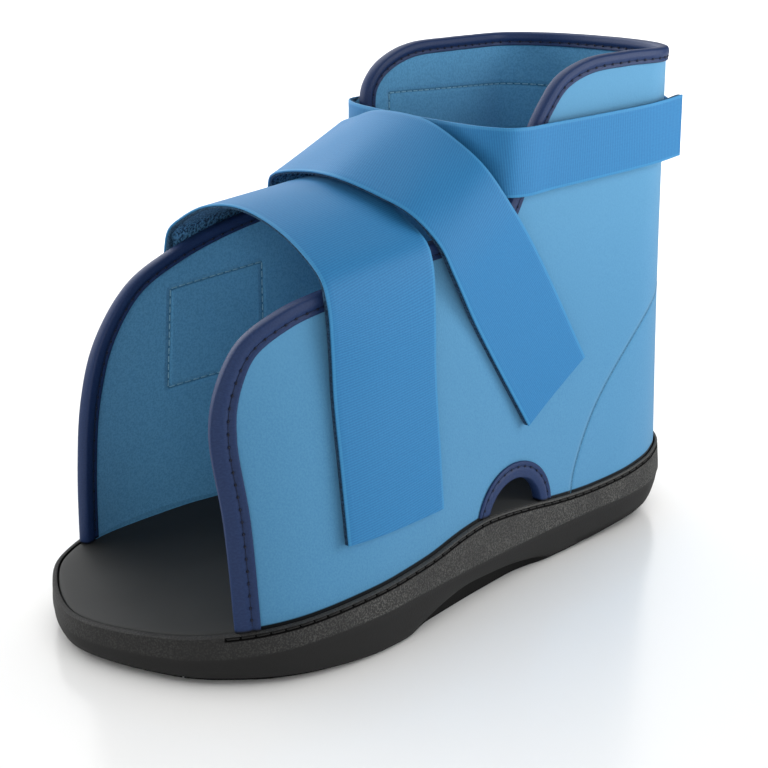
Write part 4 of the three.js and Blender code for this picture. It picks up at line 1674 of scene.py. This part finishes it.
@dataclass
class Strap:
    """Woven strap with its pile lining, along rows from its sewn end to its free end."""

    form: ShoeForm
    name: str
    width: float
    rows: tuple[Laid | Spanned, ...]
    sewn_box: Point2
    webbing: float = 0.8
    pile: float = 2.2
    span_pile: float = 0.9
    span_ease: float = 12
    face: float = 3.3
    columns: int = 16
    steps: int = 170
    row_steps: int = 24
    bead: float = 0.05
    rounding: tuple[Point2, ...] = ((0.12, 0.18), (0.5, 0.3), (0.88, 0.18))
    stitch: StitchKind = StitchKind(3.0, 4.3, 0.55)

    def __post_init__(self) -> None:
        """Work out the strap's outer face as a grid with its outward directions."""
        self.shares = np.linspace(0, 1, self.columns + 1)
        rows = np.array([row.points(self.form, self.shares, self.face) for row in self.rows])
        columns = [smooth_line(rows[:, c], self.row_steps) for c in range(rows.shape[1])]
        grid = np.stack(columns, axis=1)
        along = lengths_along(grid[:, self.columns // 2])
        even = np.linspace(0, along[-1], self.steps + 1)
        index = np.interp(even, along, np.arange(len(along)))
        low = np.minimum(index.astype(int), len(grid) - 2)
        part = (index - low)[:, None, None]
        self.grid = grid[low] * (1 - part) + grid[low + 1] * part
        self.length = float(along[-1])
        spans = [along[self.row_steps * i] for i, row in enumerate(self.rows) if isinstance(row, Spanned)]
        inside = rise(np.minimum(even - spans[0], spans[-1] - even), 0, self.span_ease)
        self.pile_depth = self.pile + (self.span_pile - self.pile) * smooth_step(inside)
        down, over = np.gradient(self.grid, axis=0), np.gradient(self.grid, axis=1)
        self.out = unit(np.cross(down, over))
        self.over = unit(over)

    def band(self, name: str, top: float, foot: float | Array, bead: float, inset: float) -> Piece:
        """Closed band between two depths under the strap's outer face.

        Args:
            name: name of the piece.
            top: depth of its outer face.
            foot: depth of its inner face, one for all or one for each step.
            bead: how far its two edges stand proud.
            inset: how far its edges lie inside the strap's own.

        Returns:
            The band.
        """
        shares = self.shares
        edge = np.minimum(shares, 1 - shares) * self.width
        proud = bead * np.exp(-(((edge - 0.9) / 0.7) ** 2))
        shift = np.where(shares < 0.5, 1, -1) * inset * (edge < 1e-6)
        foot = np.broadcast_to(foot, (self.steps + 1,))[:, None]
        outer = self.grid + self.over * shift[None, :, None] - self.out * (top - proud)[None, :, None]
        inner = self.grid + self.over * shift[None, :, None] - self.out * foot[..., None]
        ends = []
        for column, sign in ((-1, 1), (0, -1)):
            out, over = self.out[:, column], self.over[:, column]
            side = [
                outer[:, column] - out * (share * (foot - top)) + over * (sign * reach)
                for share, reach in self.rounding
            ]
            ends.append(side[::sign])
        faces = outer.transpose(1, 0, 2), inner[:, ::-1].transpose(1, 0, 2)
        run = [*faces[0], *ends[0], *faces[1], *ends[1], outer[:, 0]]
        flat = shares * self.width
        corners = len(self.rounding)
        across = np.concatenate([flat, [self.width] * corners, flat[::-1], [0.0] * (corners + 1)])
        along = np.linspace(0, self.length, self.steps + 1)
        weave = np.stack(np.broadcast_arrays(across[None, :], along[:, None]), axis=2)
        piece = lay_grid(name, np.stack(run, axis=1), weave)
        # Marks the band's two sides, where the pile's finish paints shade.
        mark_points(piece, "side", np.tile((across % self.width == 0).astype(float), (self.steps + 1, 1)))
        close_up(piece)
        smooth_faces(piece, 40)
        return piece

    def box_lines(self) -> list[SewnLine]:
        """Box of stitches through the sewn end, on its outer face.

        Returns:
            Its four sides.
        """
        start, end = (int(round(share / self.length * self.steps)) for share in self.sewn_box)
        left, right = 2, self.columns - 2
        loop = [(start, left), (start, right), (end, right), (end, left), (start, left)]
        lines = []
        for (r0, c0), (r1, c1) in zip(loop, loop[1:]):
            count = max(abs(r1 - r0), abs(c1 - c0)) + 1
            rows = np.round(np.linspace(r0, r1, count)).astype(int)
            columns = np.round(np.linspace(c0, c1, count)).astype(int)
            facing = self.out[rows, columns]
            lines.append((self.grid[rows, columns] + 0.12 * facing, facing))
        return lines

    def build(self, pile: Material, thread: Material) -> None:
        """Model and dress the strap, its pile and its sewn box.

        Args:
            pile: finish of the pile.
            thread: finish of the stitches.
        """
        name = self.name
        webbing = self.band(f"{name}_webbing", 0.0, self.webbing, self.bead, 0.0)
        lining = self.band(f"{name}_lining", self.webbing + 0.02, self.webbing + self.pile_depth, 0.0, 0.15)
        dress(webbing, RibbedWebbing().material(self.width), "webbing", name)
        dress(lining, pile, "pile", f"{name}_pile")
        dress(sew(f"{name}_stitches", self.box_lines(), self.stitch), thread, "webbing")
        LOG.info("%s: %.0f mm long", name, self.length)


@dataclass
class Straps:
    """The three hook-and-loop straps and the hook patch at the heel."""

    form: ShoeForm
    over_tape: float = 1.4
    over_patch: float = 1.5
    patch_runs: Point2 = (0.40, 0.55)
    patch_heights: Point2 = (158.0, 181.0)
    patch_thickness: float = 1.2
    hooks: LoopPile = LoopPile("hook_tape", "#2d6592", "#4a8aba", "#1d4464", 0.6)
    thread: SewingThread = SewingThread("blue_thread", "#4f8fc0", "#79b2dc")

    def forefoot(self) -> Strap:
        """Forefoot strap: sewn outside the medial panel, over the throat, down the lateral panel.

        Returns:
            The strap.
        """
        front, rear = -73.0, -25.5
        medial = ((76, 0), (98, 0), (118, self.over_tape))
        arch = (
            (-47.4, 132, 141),
            (-44.6, 139.6, 148),
            (-36, 145.6, 152),
            (-20, 152.6, 157.5),
            (0.7, 155.3, 159.8),
            (21, 151.6, 156.6),
            (36, 145, 149.6),
            (46.4, 137, 142.8),
            (49.6, 128.5, 135.6),
        )
        lateral = ((116, self.over_tape), (96, 0), (72, 0), (45.5, 0))
        rows = (
            *(Laid(Side.MEDIAL, (front, z), (rear, z), lift) for z, lift in medial),
            *(Spanned((x, front, low), (x, rear, high)) for x, low, high in arch),
            *(Laid(Side.LATERAL, (front, z), (rear, z), lift) for z, lift in lateral),
        )
        return Strap(self.form, "forefoot_strap", 47.5, rows, (3, 40))

    def instep(self) -> Strap:
        """Instep strap: from the medial side across the instep and back down the lateral side.

        Returns:
            The strap.
        """
        rows = (
            Laid(Side.MEDIAL, (-20, 98), (18, 98)),
            Laid(Side.MEDIAL, (-20, 122), (18, 124), self.over_tape),
            Spanned((-46.5, -24, 147), (-49, 18.5, 165.5)),
            Spanned((-43, -26.5, 153), (-46, 12, 170.4)),
            Spanned((-36, -29.5, 157), (-26, 4.5, 176.8)),
            Spanned((-13, -33, 161.6), (-11, 1, 180.8)),
            Spanned((10, -36, 162.6), (5, 0, 181.6)),
            Spanned((27, -32.5, 158.6), (18, 1.5, 179.8)),
            Spanned((40.6, -27.5, 152.6), (32, 3.5, 173.4)),
            Spanned((48.2, -21, 142), (43, 6, 165.6)),
            Laid(Side.LATERAL, (-15, 128.6), (14.4, 150.6), 2 * self.over_tape),
            Laid(Side.LATERAL, (-2.2, 108.5), (31.6, 130)),
            Laid(Side.LATERAL, (27.4, 63.2), (60.2, 84)),
        )
        return Strap(self.form, "instep_strap", 38.5, rows, (3, 22))

    def ankle(self) -> Strap:
        """Ankle strap: sewn outside the medial collar, across the front, free past the lateral heel.

        Returns:
            The strap.
        """
        front = (
            (-44.3, 22, 156, 181),
            (-42, 14, 155.8, 180.8),
            (-33, 9.3, 155.5, 180.4),
            (-15, 7.5, 155, 179.8),
            (14, 7.5, 154.5, 179.2),
            (36, 9.5, 154, 178.8),
            (46.5, 14.5, 153.8, 178.7),
            (49, 23, 153.7, 178.6),
        )
        rows = (
            Laid(Side.MEDIAL, (92, 157), (92, 182)),
            Laid(Side.MEDIAL, (62, 157), (62, 182)),
            Laid(Side.MEDIAL, (36, 156.5), (36, 181.5), self.over_tape),
            *(Spanned((x, y, low), (x, y, high)) for x, y, low, high in front),
            Laid(Side.LATERAL, (36, 154.2), (36, 178.7), self.over_tape),
            Laid(Side.LATERAL, (61, 155.6), (61, 179.8), self.over_patch),
            Laid(Side.LATERAL, (87, 157.2), (87, 181.2), self.over_patch),
            Spanned((50.2, 99, 158.1), (50.2, 99, 182)),
            Spanned((49.6, 110.5, 159.2), (49.6, 110, 183)),
        )
        return Strap(self.form, "ankle_strap", 25.0, rows, (3, 50))

    def build_patch(self) -> None:
        """Hook patch on the felt round the heel, under the ankle strap's free end."""
        low, high = self.patch_heights
        runs, z = np.meshgrid(np.linspace(*self.patch_runs, 60), np.linspace(low, high, 16))
        piece = lay_grid("hook_patch", self.form.on_wall(runs, z, self.form.gap + self.patch_thickness))
        close_up(piece, caps=False)
        apply_modifier(piece, "SOLIDIFY", thickness=self.patch_thickness * MM, offset=-1)
        smooth_faces(piece)
        dress(piece, self.hooks.material(), "pile", "heel_hook_patch")
        flat = (lengths_along(self.form.on_wall(runs[0], z[0]))[-1] * MM, (high - low) * MM)

    def build(self) -> None:
        """Model and dress the straps and the patch."""
        pile, thread = LoopPile().material(), self.thread.material()
        for strap in (self.forefoot(), self.instep(), self.ankle()):
            strap.build(pile, thread)
        self.build_patch()


# Studio


class Lit(Enum):
    """What a light reaches, with the state that its link to the floor has."""

    ALL = ""
    SHOE = "EXCLUDE"
    FLOOR = "INCLUDE"


class Softbox(NamedTuple):
    """Square light near the shoe: its place and size in metres, its power in watts."""

    name: str
    place: Point3
    size: float
    power: float
    lit: Lit = Lit.ALL


class Sky(NamedTuple):
    """Wide light from far away: the direction towards it, its strength and its spread in degrees."""

    name: str
    towards: Point3
    strength: float
    spread: float
    lit: Lit = Lit.ALL


@dataclass
class Studio:
    """Pale floor, soft lights and the camera, at the photograph's viewing angle."""

    azimuth: float = 48.326
    elevation: float = 17.949
    camera_mm: Point3 = (428.5, -385.9, 261.0)
    focal_px: float = 1529.98
    frame_px: float = 768.0
    sensor_mm: float = 36.0
    target: Point3 = (0, 0.05, 0.13)
    floor_m: float = 24.0
    floor_z: float = -0.0002
    sky_m: float = 50
    world: float = 0.05
    softboxes: tuple[Softbox, ...] = (
        Softbox("right_softbox", (0.42, 0.38, 0.3), 0.35, 2.5, Lit.SHOE),
        Softbox("side_softbox", (0.5, 0.1, 0.14), 0.3, 0.65, Lit.SHOE),
        Softbox("back_wall", (-3.4, 3, 1.45), 2.8, 24),
    )
    skies: tuple[Sky, ...] = (
        Sky("left_light", (-0.978, 0, 0.208), 1.4, 45, Lit.SHOE),
        Sky("left_front_light", (-0.69, -0.69, 0.21), 2.2, 45, Lit.SHOE),
        Sky("front_light", (0.69, -0.69, 0.21), 1.2, 45),
        Sky("left_top_light", (-0.65, 0.1, 0.75), 2.0, 60, Lit.SHOE),
        Sky("top_light", (0, 0, 1), 0.6, 60, Lit.SHOE),
        Sky("floor_light", (-0.25, 0.3, 1), 3.5, 150, Lit.FLOOR),
    )

    def build_floor(self) -> Piece:
        """Plain white floor with a faint reflection.

        Returns:
            The floor.
        """
        deselect()
        bpy.ops.mesh.primitive_plane_add(size=self.floor_m, location=(0, 0, self.floor_z))
        floor = bpy.context.active_object
        floor.name = "studio_floor"
        shade = Shade("pale_floor", "#f4f4f3", 0.2, Specular_IOR_Level=0.3)
        floor.data.materials.append(shade.material)
        return floor

    def build_camera(self) -> None:
        """Camera with the photograph's place, direction and field of view."""
        deselect()
        bpy.ops.object.camera_add(location=Vector(self.camera_mm) * MM)
        camera = bpy.context.active_object
        camera.name = "photo_camera"
        camera.data.lens = self.focal_px / self.frame_px * self.sensor_mm
        camera.data.sensor_width = self.sensor_mm
        camera.data.sensor_fit = "HORIZONTAL"
        camera.data.clip_start = 0.01
        camera.rotation_euler = (math.radians(90 - self.elevation), 0, math.radians(self.azimuth))
        bpy.context.scene.camera = camera

    def add_light(self, name: str, kind: str, place: Point3, lit: Lit, floor: Piece) -> bpy.types.Light:
        """Light that looks at the middle of the shoe.

        Args:
            name: name of the light.
            kind: AREA or SUN.
            place: where it stands, in metres.
            lit: what it reaches.
            floor: the floor.

        Returns:
            The light's settings.
        """
        deselect()
        bpy.ops.object.light_add(type=kind, location=place)
        light = bpy.context.active_object
        light.name = name
        light.rotation_euler = (Vector(self.target) - Vector(place)).to_track_quat("-Z", "Y").to_euler()
        if lit is not Lit.ALL:
            reached = bpy.data.collections.new(f"{name}_reach")
            reached.objects.link(floor)
            reached.collection_objects[0].light_linking.link_state = lit.value
            light.light_linking.receiver_collection = reached
        return light.data

    def build_lights(self, floor: Piece) -> None:
        """Softboxes near the shoe and wide lights from far away.

        Args:
            floor: the floor.
        """
        for box in self.softboxes:
            light = self.add_light(box.name, "AREA", box.place, box.lit, floor)
            light.energy, light.size = box.power, box.size
        for sky in self.skies:
            light = self.add_light(sky.name, "SUN", tuple(Vector(sky.towards) * self.sky_m), sky.lit, floor)
            light.energy, light.angle = sky.strength, math.radians(sky.spread)

    def build(self) -> None:
        """Set up the floor, the lights, the surroundings and the camera."""
        floor = self.build_floor()
        self.build_camera()
        self.build_lights(floor)
        world = bpy.data.worlds.new("white_room")
        world.use_nodes = True
        background = world.node_tree.nodes["Background"]
        background.inputs["Color"].default_value = (1, 1, 1, 1)
        background.inputs["Strength"].default_value = self.world
        bpy.context.scene.world = world
        bpy.context.scene.view_settings.view_transform = "Standard"


def corners(box: Sequence[Vector]) -> list[list[float]]:
    """Box as plain lists of numbers."""
    return [list(corner) for corner in box]


def main() -> None:
    """Build every piece around the frame."""
    logging.basicConfig(level=logging.INFO, format="%(name)s %(message)s")
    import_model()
    form = ShoeForm()
    Studio().build()
    Sole(form).build()
    Upper(form).build()
    Bindings(form).build()
    Straps(form).build()


if __name__ == "__main__":
    main()
